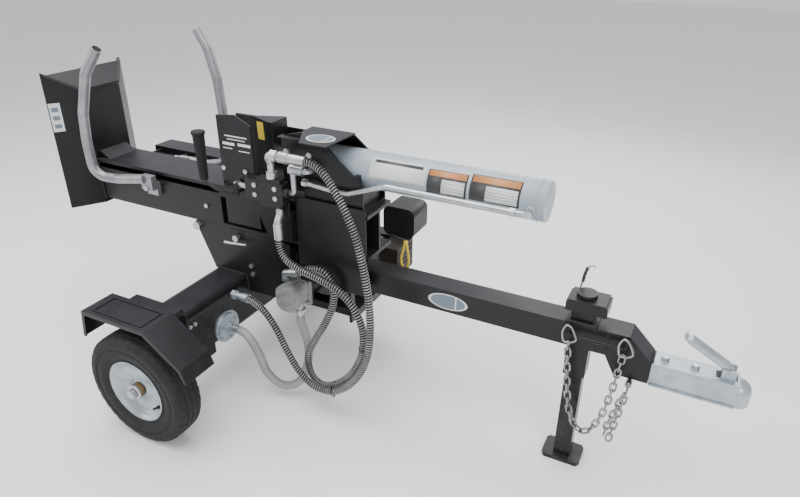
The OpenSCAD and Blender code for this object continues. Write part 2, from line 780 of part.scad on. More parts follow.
// Pressed rim with dished disc, hub tube and dust cap seat, outer face towards +width
module rim_section() {
    for (s = [-1, 1])
        translate([rim_r - 16, s > 0 ? 40 : -48]) square([20, 8]);
    translate([rim_r - 16, -46]) square([5, 92]);
    polygon([[24, 20], [60, 20], [94, 6], [98, 6], [98, 11], [95, 11], [60, 26], [24, 26]]);
    translate([22.5, -52]) square([9, 92]);
}

module rim_at(s) {
    color(zinc) translate([axle_x, s*track_half, axle_z]) rotate([s > 0 ? -90 : 90, 0, 0]) difference() {
        union() {
            rotate_extrude() rim_section();
            translate([74, 0, 12]) cylinder(h = 24, r = 4.5);
        }
        for (z = [-53, 26])
            translate([0, 0, z]) cylinder(h = 15, r = 25.5);
    }
}

module near_rim() {
    rim_at(-1);
}

module far_rim() {
    rim_at(1);
}

// Two flanged sleeve bearings in the hub
module bearings_at(s) {
    color("#8a6d3a") translate([axle_x, s*track_half, axle_z]) rotate([s > 0 ? -90 : 90, 0, 0])
        for (z = [-52, 26])
            translate([0, 0, z]) difference() {
                cylinder(h = 14, r = 25.4);
                translate([0, 0, -1]) cylinder(h = 16, r = spindle_r + 0.06);
            }
}

module near_bearings() {
    bearings_at(-1);
}

module far_bearings() {
    bearings_at(1);
}

// ---------------------------------------------------------------- jack, latch and coupler levers

// Inner leg with its foot and top cap
module jack_leg() {
    color(black) {
        difference() {
            bar([jack_x - leg_half, -leg_half, 8], [jack_x + leg_half, leg_half, 589]);
            bar([jack_x - leg_half + 4, -leg_half + 4, 30], [jack_x + leg_half - 4, leg_half - 4, 580]);
            for (i = [0 : 4])
                across(jack_x, jack_pin_z - 60*i, 0, 60, 6.3);
        }
        translate([jack_x, 0, 588.5]) cylinder(h = 12, r = 29);
        intersection() {
            bar([jack_x - 60, -45, 0], [jack_x + 60, 45, 14]);
            translate([jack_x, 0, -1]) cylinder(h = 20, r = 68);
        }
    }
}

// Pull pin on the far side of the jack, with its wire bail
module jack_pin() {
    x = jack_x;
    z = jack_pin_z;
    color(steel) {
        across(x, z, 25.8, 60, 6);
        across(x, z, 46, 58, 9);
        pipe([[x - 4, 55, z], [x - 34, 52, z + 22], [x - 26, 50, z + 70], [x - 12, 48, z + 132],
            [x + 4, 48, z + 124]], 2.5, 11);
    }
}

module coupler_latch() {
    px = ball_x - 34;
    pz = 463;
    color(steel) {
        across(px, pz, -24, 24, 5);
        difference() {
            side_plate(-15, 15) polygon([[px - 10, pz - 8], [px + 12, pz - 8], [px + 16, pz + 10],
                [px, pz + 22],
                [px - 100, pz + 76], [px - 112, pz + 74], [px - 116, pz + 82], [px - 122, pz + 74],
                [px - 108, pz + 62], [px - 12, pz + 10]]);
            side_plate(-11, 11) polygon([[px - 30, pz + 4], [px + 4, pz + 14], [px - 96, pz + 68],
                [px - 106, pz + 56]]);
        }
        rod([px + 2, 0, pz], [px + 2, 0, pz - 22], 6);
    }
}

// Clamp that closes under the ball
module coupler_jaw() {
    color(steel) bar([ball_x - 53, -14, 384], [ball_x - 29, 14, 428]);
}

// Lock pin of the beam with its bent handle
module latch_pin() {
    color(steel) {
        across(latch_x, latch_z, -92, 84, latch_r);
        across(latch_x, latch_z, -96, -86, 12);
        pipe([[latch_x, -92, latch_z - 4], [latch_x, -98, latch_z - 18],
            [latch_x - 46, -98, latch_z - 20]], 5, 8);
        rod([latch_x - 4, -98, latch_z - 18], [latch_x + 50, -98, latch_z - 12], 4.8);
    }
}

// ---------------------------------------------------------------- beam

// I-beam with its near side boxed in, hinge tube and lock lug
module beam() {
    web = 5;
    color(black) difference() {
        union() {
            bar([beam_back, -half_w, beam_top - flange_t], [beam_front, half_w, beam_top]);
            bar([beam_back, -half_w, beam_bottom], [beam_front, half_w, beam_bottom + flange_t]);
            bar([beam_back, -web, beam_bottom], [beam_front, web, beam_top]);
            bar([beam_back, -half_w, beam_bottom], [side_end, -half_w + 6, side_top]);
            bar([side_end - 8, -half_w, beam_bottom], [side_end, 0, side_top]);
            for (x = [-860, -620, -300, 0])
                bar([x, 0, beam_bottom], [x + 8, 58, beam_top - flange_t - 20]);
            for (x = [-860, -620])
                bar([x, -half_w, beam_bottom], [x + 8, 0, side_top]);
            across(hinge_x, hinge_z, -tower_in + 0.4, tower_in - 0.4, 20);
            bar([hinge_x - 30, -60, beam_bottom - 8], [hinge_x + 18, 60, beam_bottom + 2]);
            bar([latch_x - 20, -15, latch_z - 20], [latch_x + 20, 15, beam_bottom + 2]);
        }
        across(hinge_x, hinge_z, -tower_out, tower_out, hinge_r + 0.06);
        across(latch_x, latch_z, -20, 20, latch_r + 0.06);
    }
}

// Foot plate against which the log is pushed: a flat face with three edges folded back
module foot_plate() {
    face = beam_back;
    inner_h = 985;
    outer_h = 1049;
    deep = face - rear_x;
    wing = 95;
    rise = outer_h - inner_h;
    reach = norm([deep, wing]);
    top_reach = norm([deep, rise]);
    color(black) {
        bar([face - 16, -80, 548], [face, 80, inner_h]);
        for (s = [-1, 1])
            translate([face, s*80, 0]) rotate([0, 0, s*(180 - atan2(wing, deep))]) rotate([90, 0, 0])
                translate([0, 0, s > 0 ? -12 : 0]) linear_extrude(12)
                    polygon([[0, 548], [reach, 541], [reach, outer_h], [0, inner_h]]);
        translate([face, 0, inner_h - 2]) rotate([0, atan2(rise, deep), 0]) rotate([0, 0, 90])
            translate([0, -6, -12]) linear_extrude(12)
                polygon([[-80, 0], [80, 0], [74 + wing, top_reach - 4], [-74 - wing, top_reach - 4]]);
        side_plate(-62, 62)
            polygon([[face - 2, beam_top + 0.2], [face + 49, beam_top + 0.2], [face - 2, beam_top + 28]]);
    }
}

// Bent tube that keeps a log from rolling off, bolted to a bracket on the beam's side
module cradle(route, side) {
    tip = route[len(route) - 1];
    before = route[len(route) - 2];
    inward = unit(before - tip);
    x = route[0].x;
    difference() {
        pipe(route, 17, 50);
        rod(tip + inward*24, tip - inward*2, 14.5);
    }
    bar([x - 14, side > 0 ? 92 : -116, 662], [x + 38, side > 0 ? 116 : -92, 714]);
    bar([x - 14, side > 0 ? half_w : -94, 636], [x + 38, side > 0 ? 94 : -half_w, side_top - 6]);
    bar([x - 14, side > 0 ? 58 : -half_w - 1, 640], [x + 38, side > 0 ? half_w + 1 : -half_w, 680]);
}

module near_cradle() {
    color(steel) cradle([[-836, -111, 700], [-950, -137, 690], [-1024, -166, 700], [-1018, -172, 830],
        [-1004, -173, 930], [-953, -169, 1074], [-886, -160, 1155]], -1);
}

module far_cradle() {
    color(steel) cradle([[-870, 111, 700], [-760, 137, 690], [-688, 166, 700], [-684, 170, 830],
        [-697, 171, 1014], [-724, 168, 1126], [-756, 162, 1186]], 1);
}

// Shelf on the far side that catches the split half
module log_tray() {
    color(black) {
        bar([-1100, 196, 694], [-600, 288, 700]);
        bar([-1100, 196, 672], [-600, 200, 700]);
        bar([-1100, 284, 672], [-600, 288, 700]);
        for (x = [-1070, -930, -640])
            bar([x, 5, 640], [x + 8, 284, 690]);
    }
}

// Plate each side of the wedge that pushes a stuck log off, on lugs from the beam's web
module stripper() {
    low = 604;
    color(black) {
        side_plate(-100, -94) polygon([[-475, low], [-475, 978], [-400, 986], [-341, 958], [-335, low]]);
        side_plate(94, 100) polygon([[-475, low], [-475, 905], [-460, 915], [-350, 915],
            [-335, 900], [-335, low]]);
        for (s = [-1, 1], x = [-465, -375])
            bar([x, s > 0 ? 5 : -95, low], [x + 30, s > 0 ? 95 : -5, low + 50]);
    }
}

// Saddle and side plates that hold the front of the cylinder, under a bent cover
module cylinder_mount() {
    clear_r = barrel_r + 0.3;
    color(black) {
        difference() {
            union() {
                side_plate(-72, -66) polygon([[-170, beam_top], [45, beam_top], [45, 815],
                    [-70, 915], [-90, 955],
                    [-170, 955], [-245, 936], [-245, 762], [-170, 762]]);
                side_plate(66, 72) polygon([[-170, beam_top], [45, beam_top], [45, 815], [-70, 915],
                    [-345, 917], [-345, 762], [-170, 762]]);
                bar([-140, -72, beam_top], [-128, 72, cyl_z]);
                bar([20, -72, beam_top], [32, 72, cyl_z]);
            }
            along(-200, 100, 0, cyl_z, clear_r);
            across(-122, cyl_z, -73, -50, 10);
        }
        bar([-170, -72, beam_top], [45, 72, beam_top + 10]);
        bar([-245, -92, 934], [-167, -66, 938]);
        translate([0, 0, 954]) linear_extrude(4)
            polygon([[-169, -6], [-169, -60], [-112, -165], [-20, -165], [-15, -6]]);
        translate([-165, -9, 958]) rotate([-40, 0, 0]) translate([0, 0, -4]) cube([146, 135, 4]);
    }
}

// Barrel with its welded end cap and port bosses, white-grey
module barrel() {
    color("#c4ccd3") difference() {
        union() {
            along(cyl_front, cyl_back, 0, cyl_z, barrel_r);
            across(556, cyl_z - 13, -74, -40, 15);
        }
        along(cyl_front - 1, cyl_back - 24, 0, cyl_z, bore_r);
    }
}

// Gland that guides the rod at the barrel's front
module gland() {
    color(steel) difference() {
        union() {
            along(cyl_front, cyl_front + 46, 0, cyl_z, bore_r - 0.05);
            along(cyl_front - 12, cyl_front, 0, cyl_z, barrel_r - 6);
        }
        along(cyl_front - 20, cyl_front + 60, 0, cyl_z, rod_d/2 + 0.06);
    }
}

// Steel line from the valve to the cap end, with its nuts and elbow
module steel_pipe() {
    color(steel) {
        pipe([[-150, -100, 806], [-60, -86, 791], [0, -86, 791], [130, -86, 838], [540, -86, 836],
            [548, -81.5, 836]], 7.5, 28);
        hex_along(506, 522, -86, 835, 22);
        hex_along(-152, -136, -100, 806, 22);
        rod([556, -74, 836], [556, -89, 836], 12);
    }
}

// ---------------------------------------------------------------- valve

valve_y = -124;
spool_z = 765;
lever_x = -392;
lever_z = 740;
pin_y = -134;

module valve_body() {
    color("#202024") difference() {
        union() {
            bar([-350, -140, 730], [-205, -108, 800]);
            bar([-300, -138, 716], [-214, -110, 812]);
            along(-206, -190, valve_y, spool_z + 5, 15);
        }
        along(-360, -196, valve_y, spool_z, 9.1);
        for (x = [-310, -231], z = [752, 784])
            across(x, z, -141, -132, 4.2);
        translate([-232, valve_y, 700]) cylinder(h = 30, r = 10.1);
    }
}

// Bracket that carries the valve and the lever's stud on the beam's near side
module valve_bracket() {
    color(black) {
        side_plate(-107.8, -101.5) polygon([[-505, 700], [-471, 740], [-390, 792], [-345, 800], [-206, 800],
            [-206, 590], [-300, 590], [-340, 690]]);
        for (x = [-300, -212])
            bar([x, -102, 592], [x + 6, -5, 690]);
    }
    color(steel) across(lever_x, lever_z, -142, -101.5, 5);
}

// Elbows, nuts and ferrules on the valve's ports
module valve_fittings() {
    color(steel) {
        translate([-232, valve_y, 702]) cylinder(h = 27, r = 10);
        pipe([[-232, valve_y, 710], [-232, valve_y, 692], [-232, -140, 672], [-232, -140, 640]], 12, 20);
        translate([-232, -140, 612]) cylinder(h = 54, r = 15.5);
        pipe([[-252, valve_y, 812], [-252, valve_y, 860], [-252, -140, 892], [-200, -140, 892]], 11, 16);
        hex_along(-236, -212, -140, 892, 32);
        along(-204, -170, -140, 892, 18);
        along(-171, -110, -140, 892, 15.5);
        translate([-252, valve_y, 812]) cylinder(h = 20, r = 17);
        pipe([[-190, -116, 770], [-176, -116, 770], [-176, -116, 849], [-160, -116, 849]], 9, 12);
        along(-178, -136, -116, 849, 15);
        hex_along(-186, -170, -116, 849, 28);
        pipe([[-140, -116, 849], [-122, -116, 849], [-122, -58.6, 849]], 9, 12);
    }
}

module beam_bolts() {
    color(steel) {
        for (x = [-310, -231], z = [752, 784]) {
            across(x, z, -140.1, -132, 4.1);
            across(x, z, -146, -140.1, 8);
        }
        across(-587, 634, -half_w - 6, -half_w, 8);
        for (x = [-225, -140])
            hex_across(x, 888, -80, -72, 18);
        for (x = [-824, -858])
            hex_across(x, 670, x > -830 ? -124 : 116, x > -830 ? -116 : 124, 18);
        for (x = [-462, -374])
            hex_across(x, 804, -106, -100, 15);
    }
}

// Control lever: flat crank on the bracket's stud, bent arm and tapered grip
module valve_lever() {
    color("#161618") {
        difference() {
            side_plate(pin_y - 6, pin_y) union() {
                translate([lever_x, lever_z]) circle(r = 12);
                translate([lever_x, spool_z]) circle(r = 8);
                translate([lever_x - 8, lever_z]) square([16, spool_z - lever_z]);
            }
            across(lever_x, lever_z, pin_y - 10, pin_y + 4, 5.06);
        }
        across(lever_x, spool_z, pin_y - 1, valve_y + 4, 3);
        pipe([[lever_x - 9, pin_y - 3, lever_z], [-470, pin_y - 3, 736], [-545, -106, 738],
            [-558, -101, 770]], 5, 14);
        translate([-558, -101, 746]) cylinder(h = 160, r1 = 13, r2 = 19);
        translate([-558, -101, 904]) cylinder(h = 8, r = 22);
    }
}

module valve_spool() {
    color(steel) difference() {
        union() {
            along(-384, -206, valve_y, spool_z, 9);
            bar([-403, valve_y - 8, spool_z - 9], [-383, valve_y + 8, spool_z + 9]);
        }
        across(lever_x, spool_z, valve_y - 20, valve_y + 20, 5);
    }
}

// ---------------------------------------------------------------- ram

module piston_rod() {
    color("#d5d9dc") {
        along(-300, cyl_back - 51, 0, cyl_z, rod_d/2);
        along(cyl_back - 81, cyl_back - 31, 0, cyl_z, bore_r - 0.08);
    }
}

// Splitting wedge on its slide, guided round the beam's top flange
module wedge() {
    lift = 0.4;
    under = beam_top - flange_t - lift;
    slide_top = beam_top + 18;
    out = half_w + 13;
    in = half_w - 14;
    color(black) {
        difference() {
            translate([0, 0, beam_top + 14]) linear_extrude(960 - beam_top - 14)
                polygon([[-480, 0], [-462, 6], [-396, 7], [-314, 41], [-300, 41], [-300, -41], [-314, -41],
                    [-396, -7], [-462, -6]]);
            bar([-481, -50, beam_top], [-440, 50, beam_top + 34]);
        }
        bar([-440, -half_w + 5, beam_top + lift], [-300, half_w - 5, slide_top]);
        for (s = [0, 1]) {
            mirror([0, s, 0]) {
                bar([-430, half_w + 0.5, under - 12], [-300, out, slide_top]);
                bar([-430, in, beam_top + lift + 4], [-300, out, slide_top]);
                bar([-430, in, under - 12], [-300, out, under]);
            }
        }
    }
}

// ---------------------------------------------------------------- every node

tank();
tower();
tongue();
near_fender();
far_fender();
engine_plate();
crankcase();
engine_cylinder();
blower_housing();
recoil_cover();
fuel_tank();
muffler();
air_cleaner();
bell_housing();
pump();
pump_fittings();
tank_ports();
suction_hose();
pressure_hose();
return_hose();
engine_guard();
jack_sleeve();
coupler();
safety_chain();
frame_bolts();
hinge_pin();
crankshaft();
recoil_grip();
fuel_cap();
throttle_lever();
stop_switch();
near_tyre();
near_rim();
near_bearings();
far_tyre();
far_rim();
far_bearings();
jack_leg();
jack_pin();
coupler_latch();
coupler_jaw();
latch_pin();
beam();
foot_plate();
near_cradle();
far_cradle();
log_tray();
stripper();
cylinder_mount();
barrel();
gland();
steel_pipe();
valve_body();
valve_bracket();
valve_fittings();
beam_bolts();
valve_lever();
valve_spool();
piston_rod();
wedge();
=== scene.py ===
"""Looks of a towable log splitter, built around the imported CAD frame. Metres throughout."""

import json
import math

import bpy
import numpy as np
from mathutils import Matrix, Vector


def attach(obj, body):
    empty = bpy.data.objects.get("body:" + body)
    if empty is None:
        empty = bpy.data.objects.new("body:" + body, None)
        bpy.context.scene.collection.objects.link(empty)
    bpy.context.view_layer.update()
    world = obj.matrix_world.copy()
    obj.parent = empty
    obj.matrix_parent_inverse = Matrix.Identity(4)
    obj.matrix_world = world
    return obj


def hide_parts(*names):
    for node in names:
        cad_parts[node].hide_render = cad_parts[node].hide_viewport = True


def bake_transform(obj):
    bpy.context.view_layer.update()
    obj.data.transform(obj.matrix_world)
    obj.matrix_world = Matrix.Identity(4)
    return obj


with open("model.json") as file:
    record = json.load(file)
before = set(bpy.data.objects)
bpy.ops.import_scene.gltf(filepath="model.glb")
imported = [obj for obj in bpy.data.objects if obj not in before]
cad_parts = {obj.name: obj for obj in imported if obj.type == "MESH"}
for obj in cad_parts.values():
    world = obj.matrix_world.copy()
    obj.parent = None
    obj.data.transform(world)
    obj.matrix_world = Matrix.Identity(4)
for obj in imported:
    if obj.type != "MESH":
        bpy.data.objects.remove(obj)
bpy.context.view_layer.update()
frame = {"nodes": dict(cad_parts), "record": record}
MM = 0.001
TAU = 2 * math.pi

AXLE = Vector((-0.510, 0.0, 0.197))
TYRE_Y = 0.530
TYRE_HALF = 0.050
TYRE_R = 0.197
CYL_Z = 0.849
CYL_R = 0.0585


def mm(*v):
    return Vector(v) * MM


# ------------------------------------------------------------------ camera

CAMERA_AT = Vector((0.954, -1.629, 1.527))
AZIMUTH, ELEVATION, ROLL = (math.radians(a) for a in (26.69, 26.97, 0.39))


def make_camera():
    back = Vector((
        math.sin(AZIMUTH) * math.cos(ELEVATION),
        -math.cos(AZIMUTH) * math.cos(ELEVATION),
        math.sin(ELEVATION),
    ))
    data = bpy.data.cameras.new("camera")
    data.sensor_width = 36
    data.lens = 28.9
    data.clip_end = 50
    cam = bpy.data.objects.new("camera", data)
    turned = back.to_track_quat("Z", "Y") @ Matrix.Rotation(ROLL, 3, "Z").to_quaternion()
    cam.matrix_world = Matrix.LocRotScale(CAMERA_AT, turned, None)
    bpy.context.scene.collection.objects.link(cam)
    bpy.context.scene.camera = cam


make_camera()


# ------------------------------------------------------------------ materials


class Finish:
    """A Principled material built from noise layers in the object's own coordinates."""

    def __init__(self, name, metallic=0.0, specular=0.5, coat=0.0, coat_rough=0.1):
        self.mat = bpy.data.materials.new(name)
        self.mat.use_nodes = True
        self.nodes = self.mat.node_tree.nodes
        self.links = self.mat.node_tree.links
        self.shader = self.nodes["Principled BSDF"]
        self.shader.inputs["Metallic"].default_value = metallic
        self.shader.inputs["Specular IOR Level"].default_value = specular
        self.shader.inputs["Coat Weight"].default_value = coat
        self.shader.inputs["Coat Roughness"].default_value = coat_rough
        self.place = self.nodes.new("ShaderNodeTexCoord").outputs["Object"]

    def node(self, kind, inputs=None, **settings):
        n = self.nodes.new(kind)
        for k, v in settings.items():
            setattr(n, k, v)
        for k, v in (inputs or {}).items():
            if isinstance(v, bpy.types.NodeSocket):
                self.links.new(v, n.inputs[k])
            else:
                n.inputs[k].default_value = v
        return n

    def stretched(self, scale, turn=(0, 0, 0)):
        return self.node(
            "ShaderNodeMapping", {"Vector": self.place, "Scale": scale, "Rotation": turn}
        ).outputs[0]

    def noise(self, scale, detail=3.0, rough=0.55, stretch=None, distort=0.0):
        at = self.stretched(stretch) if stretch else self.place
        return self.node(
            "ShaderNodeTexNoise",
            {"Vector": at, "Scale": scale, "Detail": detail, "Roughness": rough,
             "Distortion": distort},
        ).outputs["Fac"]

    def cells(self, scale, feature="F1", stretch=None):
        at = self.stretched(stretch) if stretch else self.place
        return self.node(
            "ShaderNodeTexVoronoi", {"Vector": at, "Scale": scale}, feature=feature
        ).outputs["Distance"]

    def wave(self, scale, axis="X", kind="BANDS", distort=0.0, detail_scale=1.0):
        settings = {"wave_type": kind}
        settings["bands_direction" if kind == "BANDS" else "rings_direction"] = axis
        return self.node(
            "ShaderNodeTexWave",
            {"Vector": self.place, "Scale": scale, "Distortion": distort,
             "Detail Scale": detail_scale},
            **settings,
        ).outputs["Fac"]

    def fit(self, value, lo, hi, to_lo=0.0, to_hi=1.0):
        return self.node(
            "ShaderNodeMapRange",
            {"Value": value, "From Min": lo, "From Max": hi, "To Min": to_lo, "To Max": to_hi},
        ).outputs[0]

    def math(self, how, a, b=0.0):
        return self.node("ShaderNodeMath", {0: a, 1: b}, operation=how).outputs[0]

    def ramp(self, value, stops):
        n = self.node("ShaderNodeValToRGB", {"Fac": value})
        while len(n.color_ramp.elements) < len(stops):
            n.color_ramp.elements.new(0.5)
        for e, (at, colour) in zip(n.color_ramp.elements, stops):
            e.position = at
            e.color = (*colour, 1)
        return n.outputs["Color"]

    def mix(self, share, a, b):
        n = self.node("ShaderNodeMix", data_type="RGBA")
        for socket, v in ((n.inputs[0], share), (n.inputs[6], a), (n.inputs[7], b)):
            if isinstance(v, bpy.types.NodeSocket):
                self.links.new(v, socket)
            elif isinstance(v, float):
                socket.default_value = v
            else:
                socket.default_value = (*v, 1)
        return n.outputs[2]

    def up(self, lo=0.55, hi=0.95):
        """1 on faces that look up, 0 on the others."""
        normal = self.node("ShaderNodeNewGeometry").outputs["Normal"]
        z = self.node("ShaderNodeSeparateXYZ", {0: normal}).outputs["Z"]
        return self.fit(z, lo, hi)

    def low(self, z0, z1):
        """1 near the floor, 0 above z1."""
        z = self.node("ShaderNodeSeparateXYZ", {0: self.place}).outputs["Z"]
        return self.fit(z, z0, z1, 1.0, 0.0)

    def bump(self, *layers):
        normal = None
        for height, strength, distance in layers:
            inputs = {"Height": height, "Strength": strength, "Distance": distance}
            if normal:
                inputs["Normal"] = normal
            normal = self.node("ShaderNodeBump", inputs).outputs[0]
        self.links.new(normal, self.shader.inputs["Normal"])

    def done(self, colour, rough):
        for v, name in ((colour, "Base Color"), (rough, "Roughness")):
            if isinstance(v, bpy.types.NodeSocket):
                self.links.new(v, self.shader.inputs[name])
            else:
                self.shader.inputs[name].default_value = v if isinstance(v, float) else (*v, 1)
        return self.mat


def gloss_black(name, tone=(0.0062, 0.0062, 0.0070), base=0.26, dust_and_sheen=0.16):
    """Black paint on plate: soft ripple, rubbed streaks and on top faces a grey-blue film, partly dust and partly
    painted sky sheen.
    """
    f = Finish(name, specular=0.25, coat=0.05, coat_rough=0.25)
    cloud = f.noise(5.5, 4, 0.6)
    fine = f.noise(70, 3, 0.6)
    colour = f.ramp(cloud, [(0.3, tone), (0.75, tuple(c * 1.9 for c in tone))])
    patches = f.noise(9, 6, 0.72, stretch=(1, 1, 4))
    rub = f.math("MULTIPLY", f.fit(patches, 0.62, 0.74), f.fit(fine, 0.4, 0.7))
    colour = f.mix(f.math("MULTIPLY", rub, 0.35), colour, (0.075, 0.077, 0.082))
    # Painted sheen: top faces turn grey-blue, partly dust and partly the sky's light from above painted into the
    # colour.
    film = f.math("MULTIPLY", f.up(), f.fit(f.noise(14, 5, 0.65), 0.3, 0.8, 0.35 * dust_and_sheen, dust_and_sheen))
    colour = f.mix(film, colour, (0.105, 0.108, 0.118))
    mud = f.math("MULTIPLY", f.low(0.06, 0.42), f.fit(f.noise(26, 5, 0.7), 0.45, 0.75, 0.0, 0.45))
    colour = f.mix(mud, colour, (0.085, 0.075, 0.062))
    rough = f.math("ADD", f.fit(cloud, 0.3, 0.7, base, base + 0.14), f.math("MULTIPLY", film, 0.6))
    f.bump((f.noise(160, 2, 0.5), 0.06, 0.0006), (f.noise(11, 3, 0.5), 0.10, 0.003))
    return f.done(colour, rough)


def plated(name, light, dark, rough=0.3, spangle=55, cast=0.0):
    """Zinc plate: cloudy spangle, a few dull stains and fine handling marks."""
    f = Finish(name, metallic=0.82, specular=0.5)
    spots = f.cells(spangle)
    cloud = f.noise(12, 5, 0.65)
    colour = f.ramp(cloud, [(0.28, dark), (0.62, light)])
    colour = f.mix(f.fit(spots, 0.1, 0.6, 0.0, 0.28), colour, dark)
    stain = f.fit(f.noise(38, 6, 0.75), 0.6, 0.72, 0.0, 0.4)
    colour = f.mix(stain, colour, (0.21, 0.19, 0.17))
    marks = f.noise(120, 2, 0.5, stretch=(1, 1, 7))
    f.bump((marks, 0.10, 0.0004), (spots, 0.05 + cast, 0.0008))
    base = f.fit(cloud, 0.3, 0.7, rough, rough + 0.16)
    return f.done(colour, f.math("ADD", base, f.math("MULTIPLY", stain, 0.3)))


def cast_metal(name, light, dark, rough=0.5, metallic=0.6, grain=260, depth=0.35):
    """Sand-cast metal: grainy skin, darker hollows and patches of oil film."""
    f = Finish(name, metallic=metallic, specular=0.4)
    skin = f.noise(grain, 3, 0.7)
    cloud = f.noise(16, 4, 0.6)
    colour = f.mix(f.fit(skin, 0.3, 0.7), f.ramp(cloud, [(0.3, dark), (0.7, light)]), dark)
    oil = f.fit(f.noise(22, 5, 0.7), 0.56, 0.72, 0.0, 0.55)
    colour = f.mix(oil, colour, tuple(c * 0.3 for c in dark))
    f.bump((skin, depth, 0.0007), (cloud, 0.08, 0.002))
    base = f.fit(skin, 0.3, 0.7, rough, rough + 0.2)
    return f.done(colour, f.math("SUBTRACT", base, f.math("MULTIPLY", oil, 0.2)))


def bare_steel(name, light, dark, rough=0.3, axis=(1, 1, 12), metallic=0.9, rust=0.25):
    """Drawn or turned steel: fine lines along the work, faint rust freckles."""
    f = Finish(name, metallic=metallic, specular=0.5)
    lines = f.noise(90, 4, 0.6, stretch=axis)
    cloud = f.noise(14, 4, 0.6)
    colour = f.ramp(cloud, [(0.3, dark), (0.68, light)])
    colour = f.mix(f.fit(lines, 0.35, 0.75, 0.0, 0.35), colour, dark)
    freckle = f.fit(f.noise(60, 6, 0.75), 0.62, 0.74, 0.0, rust)
    colour = f.mix(freckle, colour, (0.16, 0.085, 0.05))
    f.bump((lines, 0.12, 0.0004))
    base = f.fit(lines, 0.3, 0.7, rough, rough + 0.14)
    return f.done(colour, f.math("ADD", base, f.math("MULTIPLY", freckle, 0.4)))


def moulded(name, tone, rough=0.45, grain=420, depth=0.25, dust_and_sheen=0.2, specular=0.4):
    """Moulded plastic or rubber: fine spark grain, dulled and dusty on top."""
    f = Finish(name, specular=specular)
    grainy = f.noise(grain, 2, 0.6)
    cloud = f.noise(9, 4, 0.6)
    colour = f.ramp(cloud, [(0.3, tone), (0.75, tuple(min(1, c * 1.6) for c in tone))])
    film = f.math("MULTIPLY", f.up(), f.fit(f.noise(18, 5, 0.7), 0.35, 0.75, 0.2 * dust_and_sheen, dust_and_sheen))
    colour = f.mix(film, colour, (0.13, 0.125, 0.115))
    f.bump((grainy, depth, 0.0003), (cloud, 0.05, 0.002))
    base = f.fit(cloud, 0.3, 0.7, rough, rough + 0.15)
    return f.done(colour, f.math("ADD", base, f.math("MULTIPLY", film, 0.5)))


def barrel_skin():
    """Pale blue-grey enamel of the cylinder: flow marks, grime streaks round it, small chips."""
    f = Finish("barrel_enamel", specular=0.5, coat=0.25, coat_rough=0.22)
    cloud = f.noise(6, 4, 0.6)
    colour = f.ramp(cloud, [(0.3, (0.26, 0.305, 0.345)), (0.7, (0.35, 0.40, 0.445))])
    streak = f.fit(f.noise(18, 5, 0.7, stretch=(2.6, 0.5, 0.5)), 0.52, 0.72, 0.0, 0.32)
    colour = f.mix(streak, colour, (0.18, 0.20, 0.21))
    chip = f.fit(f.noise(75, 3, 0.6), 0.72, 0.74)
    colour = f.mix(chip, colour, (0.14, 0.13, 0.12))
    f.bump((f.noise(150, 2, 0.5), 0.05, 0.0005), (chip, -0.3, 0.0004))
    base = f.fit(cloud, 0.3, 0.7, 0.28, 0.42)
    return f.done(colour, f.math("ADD", base, f.math("MULTIPLY", streak, 0.5)))


def chrome():
    f = Finish("rod_chrome", metallic=1.0)
    lines = f.wave(900, "X", distort=0.6)
    film = f.fit(f.noise(20, 4, 0.6), 0.4, 0.75, 0.0, 0.5)
    colour = f.mix(film, (0.72, 0.73, 0.74), (0.46, 0.45, 0.42))
    f.bump((lines, 0.03, 0.0002))
    return f.done(colour, f.fit(film, 0, 0.5, 0.06, 0.2))


def rubber():
    """Tyre rubber: chalky brown bloom on the wall, grit in the tread."""
    f = Finish("tyre_rubber", specular=0.3)
    cloud = f.noise(13, 5, 0.65)
    colour = f.ramp(cloud, [(0.3, (0.008, 0.008, 0.0083)), (0.72, (0.022, 0.021, 0.020))])
    bloom = f.fit(f.noise(34, 6, 0.75), 0.5, 0.75, 0.0, 0.5)
    colour = f.mix(bloom, colour, (0.040, 0.036, 0.032))
    f.bump((f.noise(300, 3, 0.7), 0.30, 0.0004), (cloud, 0.08, 0.001))
    return f.done(colour, f.fit(cloud, 0.3, 0.7, 0.62, 0.86))


def heat_steel():
    f = Finish("muffler_steel", metallic=0.75, specular=0.4)
    cloud = f.noise(15, 5, 0.65)
    colour = f.ramp(
        cloud,
        [(0.25, (0.035, 0.033, 0.032)), (0.5, (0.07, 0.062, 0.055)), (0.62, (0.065, 0.048, 0.038)),
         (0.8, (0.085, 0.082, 0.08))],
    )
    soot = f.fit(f.noise(45, 6, 0.75), 0.5, 0.7, 0.0, 0.5)
    colour = f.mix(soot, colour, (0.03, 0.027, 0.025))
    f.bump((f.noise(180, 3, 0.7), 0.2, 0.0004))
    return f.done(colour, f.fit(cloud, 0.3, 0.7, 0.42, 0.68))


def printed(name, base, mark, edge=0.0, rough=0.38):
    """Plain vinyl decal: one ground colour, faded patches, grimy patches, no print."""
    f = Finish(name, specular=0.4, coat=0.15)
    worn = f.noise(24, 5, 0.65)
    colour = f.ramp(worn, [(0.3, base), (0.75, tuple(min(1, c * 0.86 + 0.02) for c in base))])
    grime = f.fit(f.noise(55, 6, 0.75), 0.58, 0.74, 0.0, 0.35 + edge)
    colour = f.mix(grime, colour, mark)
    f.bump((f.noise(90, 3, 0.6), 0.06, 0.0003))
    return f.done(colour, f.fit(worn, 0.3, 0.7, rough, rough + 0.2))


